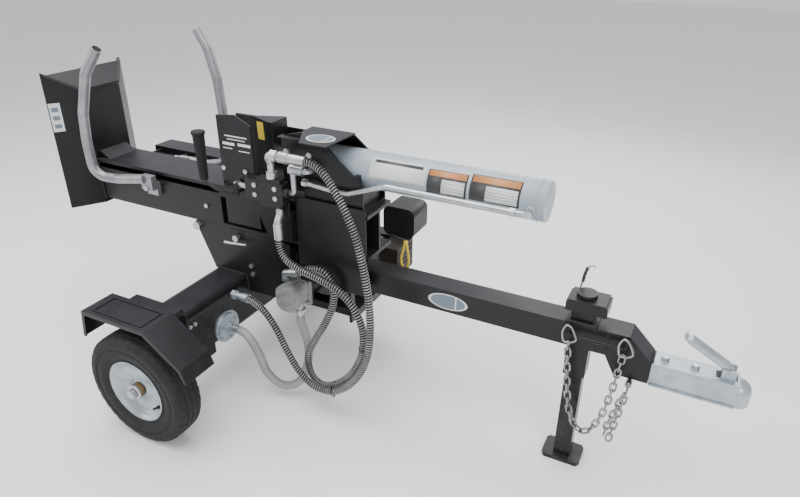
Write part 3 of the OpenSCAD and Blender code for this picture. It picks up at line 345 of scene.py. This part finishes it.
MATS = {
    "black_paint": gloss_black("black_paint"),
    "zinc_plate": plated("zinc_plate", (0.52, 0.57, 0.60), (0.29, 0.33, 0.36)),
    "steel": bare_steel("bright_steel", (0.62, 0.63, 0.64), (0.36, 0.37, 0.38), 0.26),
    "barrel_paint": barrel_skin(),
    "rod_chrome": chrome(),
    "tube_steel": bare_steel("tube_steel", (0.40, 0.41, 0.42), (0.22, 0.225, 0.23), 0.34,
                             (1, 1, 5), 0.75, 0.18),
    "tyre_rubber": rubber(),
    "bearing_bronze": cast_metal("bearing_bronze", (0.42, 0.29, 0.13), (0.25, 0.16, 0.08), 0.38,
                                 0.9, 200, 0.1),
    "cast_alloy": cast_metal("cast_alloy", (0.46, 0.47, 0.465), (0.27, 0.275, 0.27), 0.46),
    "crankcase_alloy": cast_metal("crankcase_alloy", (0.25, 0.26, 0.265), (0.13, 0.135, 0.14), 0.5),
    "black_plastic": moulded("black_plastic", (0.010, 0.010, 0.011), 0.4),
    "grip_rubber": moulded("grip_rubber", (0.010, 0.010, 0.011), 0.62, 300, 0.35, 0.1, 0.3),
    "valve_iron": cast_metal("valve_iron", (0.018, 0.018, 0.02), (0.009, 0.009, 0.01), 0.36,
                             0.1, 240, 0.3),
    "hose_black": moulded("hose_black", (0.006, 0.006, 0.006), 0.5, 500, 0.2, 0.05),
    "hose_grey": moulded("hose_grey", (0.30, 0.31, 0.31), 0.42, 300, 0.1, 0.1, 0.5),
    "muffler_steel": heat_steel(),
    "red_plastic": moulded("red_plastic", (0.30, 0.012, 0.01), 0.32, 350, 0.12),
}
BRAID = bare_steel("guard_coil", (0.50, 0.50, 0.485), (0.22, 0.22, 0.21), 0.25, (1, 1, 1), 0.75, 0.12)
COIL_GREY = moulded("coil_grey", (0.15, 0.155, 0.155), 0.40, 300, 0.1, 0.1, 0.5)
YELLOW = printed("yellow_vinyl", (0.72, 0.52, 0.035), (0.20, 0.15, 0.05))
WHITE = printed("white_vinyl", (0.66, 0.67, 0.66), (0.36, 0.35, 0.33))
ORANGE = printed("orange_vinyl", (0.50, 0.20, 0.06), (0.22, 0.13, 0.08))
DARK_VINYL = printed("dark_vinyl", (0.03, 0.03, 0.032), (0.09, 0.085, 0.08))
SLATE = printed("slate_vinyl", (0.13, 0.17, 0.21), (0.08, 0.09, 0.10))
CHAIN = bare_steel("chain_steel", (0.42, 0.42, 0.42), (0.17, 0.17, 0.17), 0.22, (1, 1, 1), 0.95, 0.2)
WELD = cast_metal("weld_bead", (0.03, 0.03, 0.032), (0.014, 0.014, 0.015), 0.35, 0.2, 120, 0.4)


# ------------------------------------------------------------------ mesh helpers


def make(name, verts, faces, body, slot=None, mat=None, smooth=True, replaces=(), mats=None, which=None):
    """A new mesh piece that rides on a body."""
    mesh = bpy.data.meshes.new(name)
    mesh.from_pydata([tuple(v) for v in verts], [], faces)
    mesh.validate()
    for m in mats or [mat or MATS[slot]]:
        mesh.materials.append(m)
    if which is not None:
        mesh.polygons.foreach_set("material_index", which)
    mesh.polygons.foreach_set("use_smooth", [smooth] * len(mesh.polygons))
    o = bpy.data.objects.new(name, mesh)
    bpy.context.scene.collection.objects.link(o)
    if body:
        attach(o, body)
    if replaces:
        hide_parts(*replaces)
    return o


class Shape:
    """Vertices and faces gathered from several simple solids, to become one piece."""

    def __init__(self):
        self.v, self.f, self.m = [], [], []

    def add(self, verts, faces, material=0):
        base = len(self.v)
        self.v += [Vector(p) for p in verts]
        self.f += [tuple(base + i for i in face) for face in faces]
        self.m += [material] * len(faces)
        return self

    def rings(self, rings, closed=True, caps=True, material=0):
        """Skin through rings of equal length, one after the other."""
        n = len(rings[0])
        verts = [p for ring in rings for p in ring]
        faces = []
        for i in range(len(rings) - 1):
            for k in range(n if closed else n - 1):
                a, b = i * n + k, i * n + (k + 1) % n
                faces.append((a, b, b + n, a + n))
        if caps:
            faces.append(tuple(reversed(range(n))))
            faces.append(tuple(range((len(rings) - 1) * n, len(rings) * n)))
        return self.add(verts, faces, material)

    def box(self, lo, hi, c=0.0015, material=0):
        """Box with chamfered edges, corners in metres."""
        lo, hi = Vector(lo), Vector(hi)
        c = min(c, *(0.45 * (hi[i] - lo[i]) for i in range(3)))
        rings = []
        for z, inset in ((lo.z, c), (lo.z + c, 0), (hi.z - c, 0), (hi.z, c)):
            x0, x1, y0, y1 = lo.x + inset, hi.x - inset, lo.y + inset, hi.y - inset
            rings.append([
                Vector((x0 + c, y0, z)), Vector((x1 - c, y0, z)), Vector((x1, y0 + c, z)),
                Vector((x1, y1 - c, z)), Vector((x1 - c, y1, z)), Vector((x0 + c, y1, z)),
                Vector((x0, y1 - c, z)), Vector((x0, y0 + c, z)),
            ])
        return self.rings(rings, material=material)

    def turned(self, profile, at, axis, sides=24, material=0, caps=True):
        """Solid of revolution: profile is (distance along the axis, radius) pairs."""
        axis = Vector(axis).normalized()
        u = axis.orthogonal().normalized()
        w = axis.cross(u)
        rings = [
            [Vector(at) + axis * d + (u * math.cos(TAU * k / sides) + w * math.sin(TAU * k / sides)) * r
             for k in range(sides)]
            for d, r in profile
        ]
        return self.rings(rings, material=material, caps=caps)

    def tube(self, path, r, sides=10, material=0, caps=True):
        path = [Vector(p) for p in path]
        radii = r if hasattr(r, "__len__") else [r] * len(path)
        rings = [
            [p + (n * math.cos(TAU * k / sides) + b * math.sin(TAU * k / sides)) * q
             for k in range(sides)]
            for (p, _, n, b), q in zip(frames(path), radii)
        ]
        return self.rings(rings, material=material, caps=caps)

    def piece(self, name, body, slot=None, mats=None, smooth=True, replaces=()):
        return make(name, self.v, self.f, body, slot, mats=mats or [MATS[slot]], smooth=smooth,
                    replaces=replaces, which=self.m)


def frames(path):
    """Each point of a path with its tangent and a normal and binormal that don't twist."""
    out, normal = [], None
    for i, p in enumerate(path):
        t = (path[min(i + 1, len(path) - 1)] - path[max(i - 1, 0)]).normalized()
        if normal is None:
            normal = t.cross(Vector((0, 1, 0)) if abs(t.y) < 0.9 else Vector((1, 0, 0))).normalized()
        normal = (normal - t * normal.dot(t)).normalized()
        out.append((p, t, normal, t.cross(normal)))
    return out


def curve_through(points, step):
    """A smooth line through points, with samples about step apart."""
    p = [Vector(q) for q in points]
    fine = []
    for i in range(len(p) - 1):
        a, b, c, d = p[max(i - 1, 0)], p[i], p[i + 1], p[min(i + 2, len(p) - 1)]
        for k in range(24):
            t = k / 24
            fine.append(0.5 * ((2 * b) + (c - a) * t + (2 * a - 5 * b + 4 * c - d) * t * t
                               + (3 * b - a - 3 * c + d) * t ** 3))
    fine.append(p[-1])
    along = [0.0]
    for a, b in zip(fine, fine[1:]):
        along.append(along[-1] + (b - a).length)
    n = max(2, round(along[-1] / step))
    at = np.linspace(0, along[-1], n + 1)
    cols = [np.interp(at, along, [q[k] for q in fine]) for k in range(3)]
    return [Vector(q) for q in zip(*cols)], along[-1]


# ------------------------------------------------------------------ hoses

SUCTION = [(-382, -215, 257), (-350, -217, 250), (-322, -216, 215), (-302, -212, 165), (-285, -206, 105),
           (-252, -192, 58), (-212, -175, 48), (-178, -156, 72), (-160, -136, 130), (-164, -116, 190),
           (-185, -102, 240), (-202, -97, 275), (-204, -96, 302)]
PRESSURE = [(-232, -140, 610), (-230, -142, 585), (-205, -150, 550), (-150, -156, 528), (-75, -160, 515),
            (5, -165, 492), (65, -170, 440), (92, -172, 365), (88, -174, 285), (55, -175, 205),
            (0, -176, 140), (-65, -176, 105), (-118, -168, 125), (-138, -156, 190), (-112, -144, 260),
            (-75, -134, 330), (-48, -124, 405), (-48, -118, 470), (-82, -114, 512), (-130, -113, 512),
            (-170, -113, 493), (-186, -113, 485)]
RETURN = [(-108, -140, 892), (-85, -141, 890), (-50, -146, 874), (-10, -154, 835), (35, -164, 775),
          (75, -174, 700), (105, -184, 610), (125, -192, 520), (134, -198, 430), (128, -202, 330),
          (100, -204, 240), (50, -206, 165), (-15, -206, 118), (-85, -206, 115), (-145, -204, 155),
          (-192, -200, 220), (-236, -192, 290), (-290, -180, 340), (-345, -167, 356), (-372, -160, 356)]


COIL_STEPS = 14


def guarded_hose(name, node, route, slot, core_r, outer_r, pitch, band, band_mat, between):
    """A hose with a coil wound on it, made as one mesh along its route."""
    path, _ = curve_through([mm(*p) for p in route], 0.006)
    s = Shape().tube(path, core_r, 14)
    line, _ = curve_through([mm(*p) for p in route], pitch / COIL_STEPS)
    turned = frames(line)
    rings = []
    for i, (p, t, n, b) in enumerate(turned):
        a = TAU * (i / COIL_STEPS)
        out = n * math.cos(a) + b * math.sin(a)
        half, rise = band / 2, outer_r - core_r
        rings.append([
            p + out * (core_r - 0.0006) - t * half,
            p + out * (core_r + rise * 0.75) - t * half * 0.72,
            p + out * (core_r + rise),
            p + out * (core_r + rise * 0.75) + t * half * 0.72,
            p + out * (core_r - 0.0006) + t * half,
        ])
    s.rings(rings, material=1)
    hose = make(name, s.v, s.f, None if between else "chassis", slot, mats=[MATS[slot], band_mat],
                which=s.m)
    if between:
        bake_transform(hose)
    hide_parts(node)
    return hose


guarded_hose("suction_line", "suction_hose", SUCTION, "hose_grey",
             0.0138, 0.0150, 0.0066, 0.0030, COIL_GREY, None)
guarded_hose("pressure_line", "pressure_hose", PRESSURE, "hose_black",
             0.0108, 0.0131, 0.0088, 0.0030, BRAID, ((-150, -140, 518), (-150, -140, 610)))
guarded_hose("return_line", "return_hose", RETURN, "hose_black",
             0.0108, 0.0131, 0.0088, 0.0030, BRAID, ((60, -170, 420), (60, -170, 860)))


# ------------------------------------------------------------------ CAD nodes: finish and edges

for row in frame["record"]["subparts"]:
    o = frame["nodes"][row["node"]]
    o.data.materials.clear()
    o.data.materials.append(MATS[row["material_slot"]])

EDGES = {
    1.6: ["tank", "tower", "tongue", "near_fender", "far_fender", "engine_plate", "beam", "foot_plate",
          "wedge", "jack_sleeve", "cylinder_mount", "stripper", "coupler", "log_tray", "muffler",
          "crankcase", "engine_cylinder", "bell_housing", "pump", "jack_leg"],
    1.0: ["valve_body", "valve_bracket", "engine_guard", "coupler_latch", "recoil_cover", "blower_housing",
          "air_cleaner", "fuel_tank", "barrel"],
}
for width, names in EDGES.items():
    for n in names:
        o = frame["nodes"][n]
        weld = o.modifiers.new("weld", "WELD")
        weld.merge_threshold = 2e-5
        flat = o.modifiers.new("flat", "DECIMATE")
        flat.decimate_type = "DISSOLVE"
        flat.angle_limit = math.radians(0.8)
        bevel = o.modifiers.new("edge", "BEVEL")
        bevel.width = width * MM
        bevel.segments = 2
        bevel.limit_method = "ANGLE"
        bevel.angle_limit = math.radians(38)
        bevel.use_clamp_overlap = True
        bevel.harden_normals = False


# ------------------------------------------------------------------ wheels


def tyre(side):
    """Pneumatic tyre: three zigzag grooves, notched shoulders, a stepped bead and a ridged wall."""
    sides = 288
    profile = []
    crown = TYRE_HALF - 0.013
    for k in range(37):
        y = -crown + 2 * crown * k / 36
        groove = min(abs(abs(y) - 0.0205), abs(y))
        depth = 0.0048 if groove < 0.0026 else (0.0024 if groove < 0.0034 else 0.0)
        profile.append((y, TYRE_R - 0.0022 * (y / crown) ** 2, depth))
    wall = [(TYRE_HALF - 0.0065, 0.1895), (TYRE_HALF - 0.002, 0.182),
            (TYRE_HALF, 0.168), (TYRE_HALF, 0.158),
            (TYRE_HALF - 0.0015, 0.1572), (TYRE_HALF - 0.0016, 0.1545), (TYRE_HALF - 0.0003, 0.1535),
            (TYRE_HALF - 0.002, 0.138), (TYRE_HALF - 0.005, 0.126), (TYRE_HALF - 0.008, 0.1190),
            (TYRE_HALF - 0.0085, 0.1160), (TYRE_HALF - 0.0068, 0.1150), (TYRE_HALF - 0.0080, 0.1095),
            (TYRE_HALF - 0.0120, 0.1050), (TYRE_HALF - 0.020, 0.1036)]
    right = [(y, r, 0.0) for y, r in wall]
    left = [(-y, r, 0.0) for y, r in reversed(wall)]
    whole = left + profile + right
    s = Shape()
    rings = []
    for i in range(sides):
        a = TAU * i / sides
        zig = 0.0022 * (1 - abs((i % 8) / 4 - 1) * 2)
        notch = (i % 8) in (0, 1)
        ring = []
        for k, (y, r, depth) in enumerate(whole):
            on_tread = len(left) <= k < len(left) + len(profile)
            if on_tread:
                fade = 1 - (abs(y) / crown) ** 4
                y += zig * fade
                if notch and abs(y) > 0.0285:
                    depth = max(depth, 0.0036)
            elif abs(k - len(left) + 0.5) < 2 or abs(k - len(left) - len(profile) + 0.5) < 2:
                depth = 0.0026 if notch else 0.0
            q = r - depth
            ring.append(Vector((AXLE.x + q * math.cos(a), side * TYRE_Y + y, AXLE.z + q * math.sin(a))))
        rings.append(ring)
    n = len(whole)
    verts = [p for ring in rings for p in ring]
    faces = []
    for i in range(sides):
        j = (i + 1) % sides
        for k in range(n - 1):
            faces.append((i * n + k, i * n + k + 1, j * n + k + 1, j * n + k))
        faces.append((i * n + n - 1, i * n, j * n, j * n + n - 1))
    s.add(verts, faces)
    word = "near" if side < 0 else "far"
    o = s.piece(word + "_tyre_tread", word + "_wheel", "tyre_rubber", replaces=[word + "_tyre"])
    o.data.polygons.foreach_set("use_smooth", [True] * len(o.data.polygons))
    return o


def rim(side):
    """Pressed wheel disc: rolled lip, deep dish, raised centre boss and a rubber valve stem."""
    word = "near" if side < 0 else "far"
    out = side
    face = side * TYRE_Y

    def ring_profile(points):
        return [(out * d, r) for d, r in points]

    outer = ring_profile([
        (0.0375, 0.1010), (0.0420, 0.1040), (0.0440, 0.1075), (0.0428, 0.1100), (0.0400, 0.1082),
        (0.0375, 0.1042), (0.0345, 0.1020), (0.0340, 0.0995), (0.0325, 0.0960), (0.0240, 0.0900),
        (0.0160, 0.0780), (0.0125, 0.0600), (0.0145, 0.0430), (0.0190, 0.0330), (0.0215, 0.0300),
        (0.0225, 0.0262), (0.0222, 0.0172), (0.0060, 0.0172), (0.0060, 0.0500), (0.0090, 0.0800),
        (0.0200, 0.0925), (0.0300, 0.0975), (0.0370, 0.0990),
    ])
    s = Shape()
    centre = Vector((AXLE.x, face, AXLE.z))
    sides = 96
    rings = []
    for d, r in outer:
        rings.append([centre + Vector((r * math.cos(TAU * k / sides), d, r * math.sin(TAU * k / sides)))
                      for k in range(sides)])
    rings.append(rings[0])
    s.rings(rings, caps=False)
    inner = [(-out * 0.0375, 0.1010), (-out * 0.0435, 0.1075), (-out * 0.042, 0.1095),
             (-out * 0.0365, 0.1035), (out * 0.033, 0.1012), (out * 0.033, 0.0990),
             (-out * 0.0375, 0.0990), (-out * 0.0375, 0.1010)]
    s.rings([[centre + Vector((r * math.cos(TAU * k / sides), d, r * math.sin(TAU * k / sides)))
              for k in range(sides)] for d, r in inner], caps=False)
    s.turned([(0.0, 0.021), (0.004, 0.0235), (0.040, 0.0235), (0.043, 0.0215)],
             centre - Vector((0, out * 0.024, 0)), (0, out, 0), 32)
    s.turned([(0.0, 0.021), (0.004, 0.0225), (0.015, 0.0225), (0.018, 0.020)],
             centre - Vector((0, out * 0.046, 0)), (0, out, 0), 32)
    o = s.piece(word + "_wheel_disc", word + "_wheel", "zinc_plate", replaces=[word + "_rim"])
    washer = Shape().turned([(0.0402, 0.0135), (0.0402, 0.0262), (0.0478, 0.0262), (0.0492, 0.0245),
                             (0.0492, 0.0135), (0.0402, 0.0135)], centre, (0, out, 0), 32, caps=False)
    washer.piece(word + "_hub_washer", word + "_wheel", "steel")
    stem = Shape()
    a = math.radians(-38 if side < 0 else 140)
    at = centre + Vector((0.084 * math.cos(a), out * 0.020, 0.084 * math.sin(a)))
    lean = Vector((-0.25 * math.cos(a), out, -0.25 * math.sin(a)))
    stem.turned([(0, 0.0058), (0.005, 0.0052), (0.008, 0.0036), (0.014, 0.0034), (0.0145, 0.0040),
                 (0.019, 0.0040), (0.020, 0.003)], at, lean, 16)
    stem.piece(word + "_valve_stem", word + "_wheel", "grip_rubber")
    return o


for side in (-1, 1):
    tyre(side)
    rim(side)


# ------------------------------------------------------------------ control lever grip


def lever_grip():
    """Ribbed sleeve over the tapered grip, with a flange at the top."""
    at = mm(-558, -101, 746)
    profile = [(0.0, 0.0125), (0.002, 0.0142)]
    ribs, rib_pitch = 44, 0.0034
    for i in range(ribs):
        z = 0.006 + i * rib_pitch
        r = 0.0136 + 0.0058 * z / 0.16
        profile += [(z, r + 0.0010), (z + 0.0011, r + 0.0010), (z + 0.0017, r), (z + 0.0029, r)]
    profile += [(0.157, 0.0225), (0.160, 0.0236), (0.164, 0.0236), (0.1675, 0.0215),
                (0.169, 0.014), (0.1695, 0.003)]
    Shape().turned(profile, at, (0, 0, 1), 32).piece("lever_sleeve", "valve_lever", "grip_rubber")


lever_grip()


# ------------------------------------------------------------------ decals, blank


def flat_patch(name, outline, normal, body, mat, thick=0.0006):
    """Thin sheet with the given outline, standing thick off the surface along normal."""
    n = Vector(normal).normalized() * thick
    pts = [mm(*p) for p in outline]
    s = Shape().rings([pts, [p + n for p in pts]])
    make(name, s.v, s.f, body, mat=mat, smooth=False)


def oval(name, centre, u, w, a, b, normal, body, bands):
    """Plain oval badge, slate with a pale rim and a pale bar; it bears no mark."""
    n = Vector(normal).normalized() * 0.0007
    c, u, w = mm(*centre), Vector(u).normalized(), Vector(w).normalized()
    s = Shape()
    count = 48

    def rim_point(t, k=1.0):
        return c + u * (a * MM * k * math.cos(t)) + w * (b * MM * k * math.sin(t))

    ring = [rim_point(TAU * i / count) for i in range(count)]
    s.rings([ring, [p + n for p in ring]], material=0)
    for x0, x1 in bands:
        pts = []
        t0, t1 = math.acos(max(-1, min(1, x1))), math.acos(max(-1, min(1, x0)))
        for i in range(13):
            pts.append(rim_point(t0 + (t1 - t0) * i / 12, 0.88))
        for i in range(13):
            pts.append(rim_point(-(t1 + (t0 - t1) * i / 12), 0.88))
        keep = [pts[0]]
        for p in pts[1:]:
            if (p - keep[-1]).length > 2e-5 and (p - keep[0]).length > 2e-5:
                keep.append(p)
        s.rings([[p + n * 0.5 for p in keep], [p + n * 1.5 for p in keep]], material=1)
    make(name, s.v, s.f, body, mats=[WHITE, SLATE], which=s.m, smooth=False)


BANDS = [(-1.0, 0.42), (0.50, 1.0)]
oval("tongue_badge", (322, -39.2, 474), (1, 0, 0), (0, 0, 1), 66, 27, (0, -1, 0), "chassis", BANDS)
oval("cover_badge", (-75, -105, 958.4), (1, 0, 0), (0, -1, 0), 46, 36, (0, 0, 1), "beam", BANDS)


def barrel_panel(name, x0, x1, a0, a1, mat):
    """Blank label round the barrel's near side, a0 to a1 degrees up from level."""
    s = Shape()
    inner, outer = [], []
    steps = 10
    for r, rows in ((CYL_R + 0.0001, inner), (CYL_R + 0.0006, outer)):
        for x in (x0, x1):
            rows.append([Vector((x * MM, -r * math.cos(math.radians(a0 + (a1 - a0) * i / steps)),
                                 CYL_Z + r * math.sin(math.radians(a0 + (a1 - a0) * i / steps))))
                         for i in range(steps + 1)])
    n = steps + 1
    verts = inner[0] + inner[1] + outer[0] + outer[1]
    faces = []
    for i in range(steps):
        faces.append((i, i + 1, n + i + 1, n + i))
        faces.append((2 * n + i, 3 * n + i, 3 * n + i + 1, 2 * n + i + 1))
    for a, b in ((0, 2 * n), (n, 3 * n)):
        for i in range(steps):
            q = (a + i, b + i, b + i + 1, a + i + 1)
            faces.append(q if a else tuple(reversed(q)))
    faces.append((0, n, 3 * n, 2 * n))
    faces.append((steps, 2 * n + steps, 3 * n + steps, n + steps))
    s.add(verts, faces)
    make(name, s.v, s.f, "beam", mat=mat)


for i, (x0, x1, a0, a1, mat) in enumerate([
    (60, 240, -2, 62, WHITE), (72, 228, 46, 56, DARK_VINYL),
    (247, 368, -14, 56, DARK_VINYL), (251, 364, 36, 54, ORANGE), (292, 362, -10, 30, WHITE),
    (377, 522, -12, 64, DARK_VINYL), (381, 518, 40, 61, ORANGE), (424, 516, -8, 34, WHITE),
]):
    barrel_panel(f"barrel_label_{i}", x0, x1, a0, a1, mat)


def wing_point(d, z):
    """Point on the foot plate's near wing, d along it from the beam, lifted off its face."""
    return (-1104 - 0.6533 * d + 0.4, -80 - 0.7571 * d - 0.4, z)


def flare_point(d, z):
    """Point on the wedge's near flare, d along it from where it starts to widen."""
    return (-396 + 0.9237 * d - 0.2, -7 - 0.3830 * d - 0.3, z)


WING_OUT = (0.7571, -0.6533, 0)
FLARE_OUT = (-0.3830, -0.9237, 0)
flat_patch("wing_label", [wing_point(*p) for p in ((84, 840), (122, 839), (122, 942), (84, 943))],
           WING_OUT, "beam", WHITE)
for i in range(3):
    z = 912 - 30 * i
    mark = [wing_point(*p) for p in ((92, z), (115, z), (115, z + 15), (92, z + 15))]
    flat_patch(f"wing_mark_{i}", mark, WING_OUT, "beam", SLATE, 0.0012)
flat_patch("flare_label", [flare_point(*p) for p in ((15, 947), (54, 951), (58, 894), (18, 889))],
           FLARE_OUT, "ram", YELLOW)
for i, (x0, x1, z0, z1) in enumerate([
    (-458, -410, 884, 893), (-396, -346, 886, 895), (-446, -358, 913, 917), (-438, -366, 903, 906),
    (-457, -420, 872, 875), (-395, -352, 868, 871),
]):
    flat_patch(f"sign_bar_{i}", [(x0, -100.1, z0), (x1, -100.1, z0), (x1, -100.1, z1), (x0, -100.1, z1)],
               (0, -1, 0), "beam", WHITE, 0.0004)


# ------------------------------------------------------------------ weld beads, ties and tag


WELD_STEP = 0.0022


def weld(name, a, b, body, r=0.0035):
    """Rippled fillet bead between two points in millimetres."""
    a, b = mm(*a), mm(*b)
    n = max(4, round((b - a).length / WELD_STEP))
    path = [a.lerp(b, i / n) for i in range(n + 1)]
    radii = [r * (0.25 if i in (0, n) else (1.0 if i % 3 else 0.8) + 0.08 * math.sin(i * 1.7))
             for i in range(n + 1)]
    Shape().tube(path, radii, 8).piece(name, body, mats=[WELD])


for i, (a, b, body) in enumerate([
    ((-583, -77, 393), (-442, -77, 393), "chassis"), ((-440, -77, 391), (-440, -77, 332), "chassis"),
    ((-440, -39, 515), (-250, -39, 515), "chassis"), ((-243, -39, 442), (-243, -39, 512), "chassis"),
    ((-1103, -80, 724), (-1056, -60, 724), "beam"), ((-1103, -79, 562), (-1103, -79, 712), "beam"),
    ((-170, -72, 725), (45, -72, 725), "beam"), ((32, -60, 735), (32, -60, 800), "beam"),
    ((806, -39, 513), (806, -39, 440), "chassis"), ((933, -34, 446), (933, 34, 446), "chassis"),
    ((683, -41, 520), (773, -41, 520), "chassis"), ((696, -32, 434), (696, 32, 434), "chassis"),
    ((-440, -391, 246), (-440, -279, 246), "chassis"), ((-1103, -80, 985), (-1103, 80, 985), "beam"),
]):
    weld(f"weld_{i}", a, b, body)


def ring_weld(name, centre, axis, radius, body, r=0.003):
    """Rippled bead round a tube."""
    axis = Vector(axis).normalized()
    u = axis.orthogonal().normalized()
    w = axis.cross(u)
    count = 96
    rings = []
    for i in range(count):
        out = u * math.cos(TAU * i / count) + w * math.sin(TAU * i / count)
        q = r * (0.85 + 0.15 * math.sin(i * 2.1))
        rings.append([mm(*centre) + out * (radius * MM + q * math.cos(TAU * k / 8))
                      + axis * q * math.sin(TAU * k / 8) for k in range(8)])
    rings.append(rings[0])
    Shape().rings(rings, caps=False).piece(name, body, mats=[MATS["barrel_paint"]])


ring_weld("cap_weld", (568, 0, CYL_Z / MM), (1, 0, 0), CYL_R / MM, "beam")
ring_weld("front_weld", (-140, 0, CYL_Z / MM), (1, 0, 0), CYL_R / MM, "beam")


def tie(name, route, share, core_r, body):
    """Black cable tie pulled round a hose, with its square head and cut tail."""
    path, _ = curve_through([mm(*p) for p in route], 0.004)
    p, t, n, b = frames(path)[int(share * (len(path) - 1))]
    s = Shape().turned([(-0.0024, core_r), (-0.0022, core_r + 0.0014),
                        (0.0022, core_r + 0.0014), (0.0024, core_r)], p, t, 28)
    head = p + n * (core_r + 0.003)
    s.tube([head - b * 0.0035, head + b * 0.0035], 0.0032, 4)
    s.tube([head + b * 0.003, head + b * 0.011 + n * 0.003], 0.0013, 6)
    s.piece(name, body, mats=[MATS["black_plastic"]])


tie("tie_upper", PRESSURE, 0.37, 0.0134, "chassis")
tie("tie_lower", RETURN, 0.66, 0.0134, "chassis")


def tag():
    """Yellow strap looped below the engine guard's edge."""
    path, _ = curve_through([mm(*p) for p in [
        (124, 60, 600), (120, 58, 570), (114, 56, 545), (112, 55, 522), (122, 54, 500), (134, 54, 506),
        (140, 55, 528), (136, 57, 556), (131, 59, 580), (128, 60, 598)]], 0.004)
    Shape().tube(path, 0.0042, 8).piece("yellow_strap", "chassis", mats=[YELLOW])
    Shape().tube([mm(40, 60, 602), mm(80, 60, 606), mm(127, 60, 600)], 0.0025, 8).piece(
        "strap_wire", "chassis", mats=[MATS["black_plastic"]])


tag()


def bail_sleeve():
    """Coiled spring guard on the jack pin's wire bail."""
    line, _ = curve_through([mm(*p) for p in [(702, 50, 604), (706, 49, 632), (711, 48.5, 652)]], 0.0006)
    coil_r, wire_r = 0.0042, 0.0014
    rings = []
    for i, (p, t, n, b) in enumerate(frames(line)):
        a = TAU * i / 8
        c = p + (n * math.cos(a) + b * math.sin(a)) * coil_r
        rings.append([c + n * wire_r * math.cos(TAU * k / 6) + t * wire_r * math.sin(TAU * k / 6)
                      for k in range(6)])
    Shape().rings(rings).piece("bail_spring", "jack_pin", mats=[MATS["black_plastic"]])


bail_sleeve()


# ------------------------------------------------------------------ safety chain

LINK_HALF = 7.8
LINK_WIRE = 3.0


def link_loop(s, centre, along, flat, length, half=LINK_HALF, wire=LINK_WIRE):
    """One round-wire link as a closed tube, sizes in millimetres."""
    along = along.normalized()
    side = along.cross(flat).normalized()
    straight = length / 2 + wire - half
    path = []
    for end in (1, -1):
        for k in range(7):
            a = math.pi * k / 6 - math.pi / 2
            path.append(centre + along * (end * (straight + half * math.cos(a)))
                        + side * (end * half * math.sin(a)))
    closed_tube(s, path, wire)


def closed_tube(s, path, wire, sides=8):
    """A round wire bent into a closed loop, path and wire radius in millimetres."""
    rings = []
    n = len(path)
    centre = sum(path, Vector()) / n
    for i, p in enumerate(path):
        t = (path[(i + 1) % n] - path[i - 1]).normalized()
        out = p - centre
        out = (out - t * out.dot(t)).normalized()
        b = t.cross(out)
        rings.append([(p + (out * math.cos(TAU * k / sides) + b * math.sin(TAU * k / sides)) * wire) * MM
                      for k in range(sides)])
    rings.append(rings[0])
    s.rings(rings, caps=False)


def chain():
    """The slung strand, the doubled free strand, and a wire hook over each end of the loop."""
    hook_wire = 3.4
    s = Shape()

    def strand(points, count):
        line, _ = curve_through(points, 0.5)
        at = np.linspace(0, len(line) - 1, count + 1).astype(int)
        for i in range(count):
            a, b = line[at[i]], line[at[i + 1]]
            flat = Vector((0, 1, 0)) if i % 2 else (b - a).cross(Vector((0, 1, 0))).normalized()
            link_loop(s, (a + b) / 2, b - a, flat, (b - a).length)

    strand([(705, -64, 466), (712, -64, 380), (722, -64, 300), (738, -64, 222),
            (768, -64, 168), (800, -64, 172), (828, -64, 240), (842, -64, 320), (850, -64, 396), (856, -64, 466)], 26)
    strand([(884, -60, 354), (876, -62, 290), (868, -62, 222), (860, -62, 160)], 8)
    strand([(878, -76, 350), (866, -76, 290), (852, -74, 232), (846, -70, 186)], 7)
    for x in (703, 858):
        path, _ = curve_through([(x - 15, -68, 478), (x - 17, -68, 500), (x - 8, -68, 520),
                                 (x + 6, -68, 516), (x + 20, -69, 492), (x + 22, -70, 478),
                                 (x + 8, -70, 468), (x - 8, -69, 466), (x - 15, -68, 476)], 3.0)
        closed_tube(s, path[:-1], hook_wire)
    s.turned([(0, 0.009), (0.0225, 0.009), (0.0245, 0.0075)], mm(884, -38.8, 372), (0, -1, 0), 20)
    s.piece("chain_and_hooks", "chassis", mats=[CHAIN], replaces=["safety_chain"])


chain()


# ------------------------------------------------------------------ stage and light


def stage():
    s = Shape().box((-14, -14, -0.03), (14, 14, 0.0), 0.001)
    f = Finish("floor_paper", specular=0.25)
    tone = f.ramp(f.noise(3, 3, 0.5), [(0.3, (0.86, 0.86, 0.865)), (0.7, (0.88, 0.88, 0.885))])
    floor = make("floor", s.v, s.f, None, mat=f.done(tone, 0.7), smooth=False)


def area(name, at, to, size, power, colour=(1, 1, 1)):
    data = bpy.data.lights.new(name, "AREA")
    data.shape = "RECTANGLE"
    data.size, data.size_y = size
    data.energy = power
    data.color = colour
    o = bpy.data.objects.new(name, data)
    way = Vector(to) - Vector(at)
    o.matrix_world = Matrix.LocRotScale(Vector(at), way.to_track_quat("-Z", "Y"), None)
    bpy.context.scene.collection.objects.link(o)


stage()
world = bpy.data.worlds.new("studio")
world.use_nodes = True
world.node_tree.nodes["Background"].inputs[0].default_value = (0.93, 0.95, 1.0, 1)
world.node_tree.nodes["Background"].inputs[1].default_value = 0.85
bpy.context.scene.world = world
area("overhead", (-0.4, -0.2, 3.6), (0, 0, 0.5), (4.5, 3.0), 185)
area("key", (2.6, -2.8, 2.6), (0, 0, 0.5), (1.8, 1.8), 60, (1, 0.98, 0.95))
area("side", (-3.2, -1.6, 1.8), (-0.4, 0, 0.5), (1.4, 2.0), 36, (0.95, 0.97, 1))
area("back", (0.6, 3.0, 2.2), (0, 0, 0.6), (2.4, 1.6), 40)
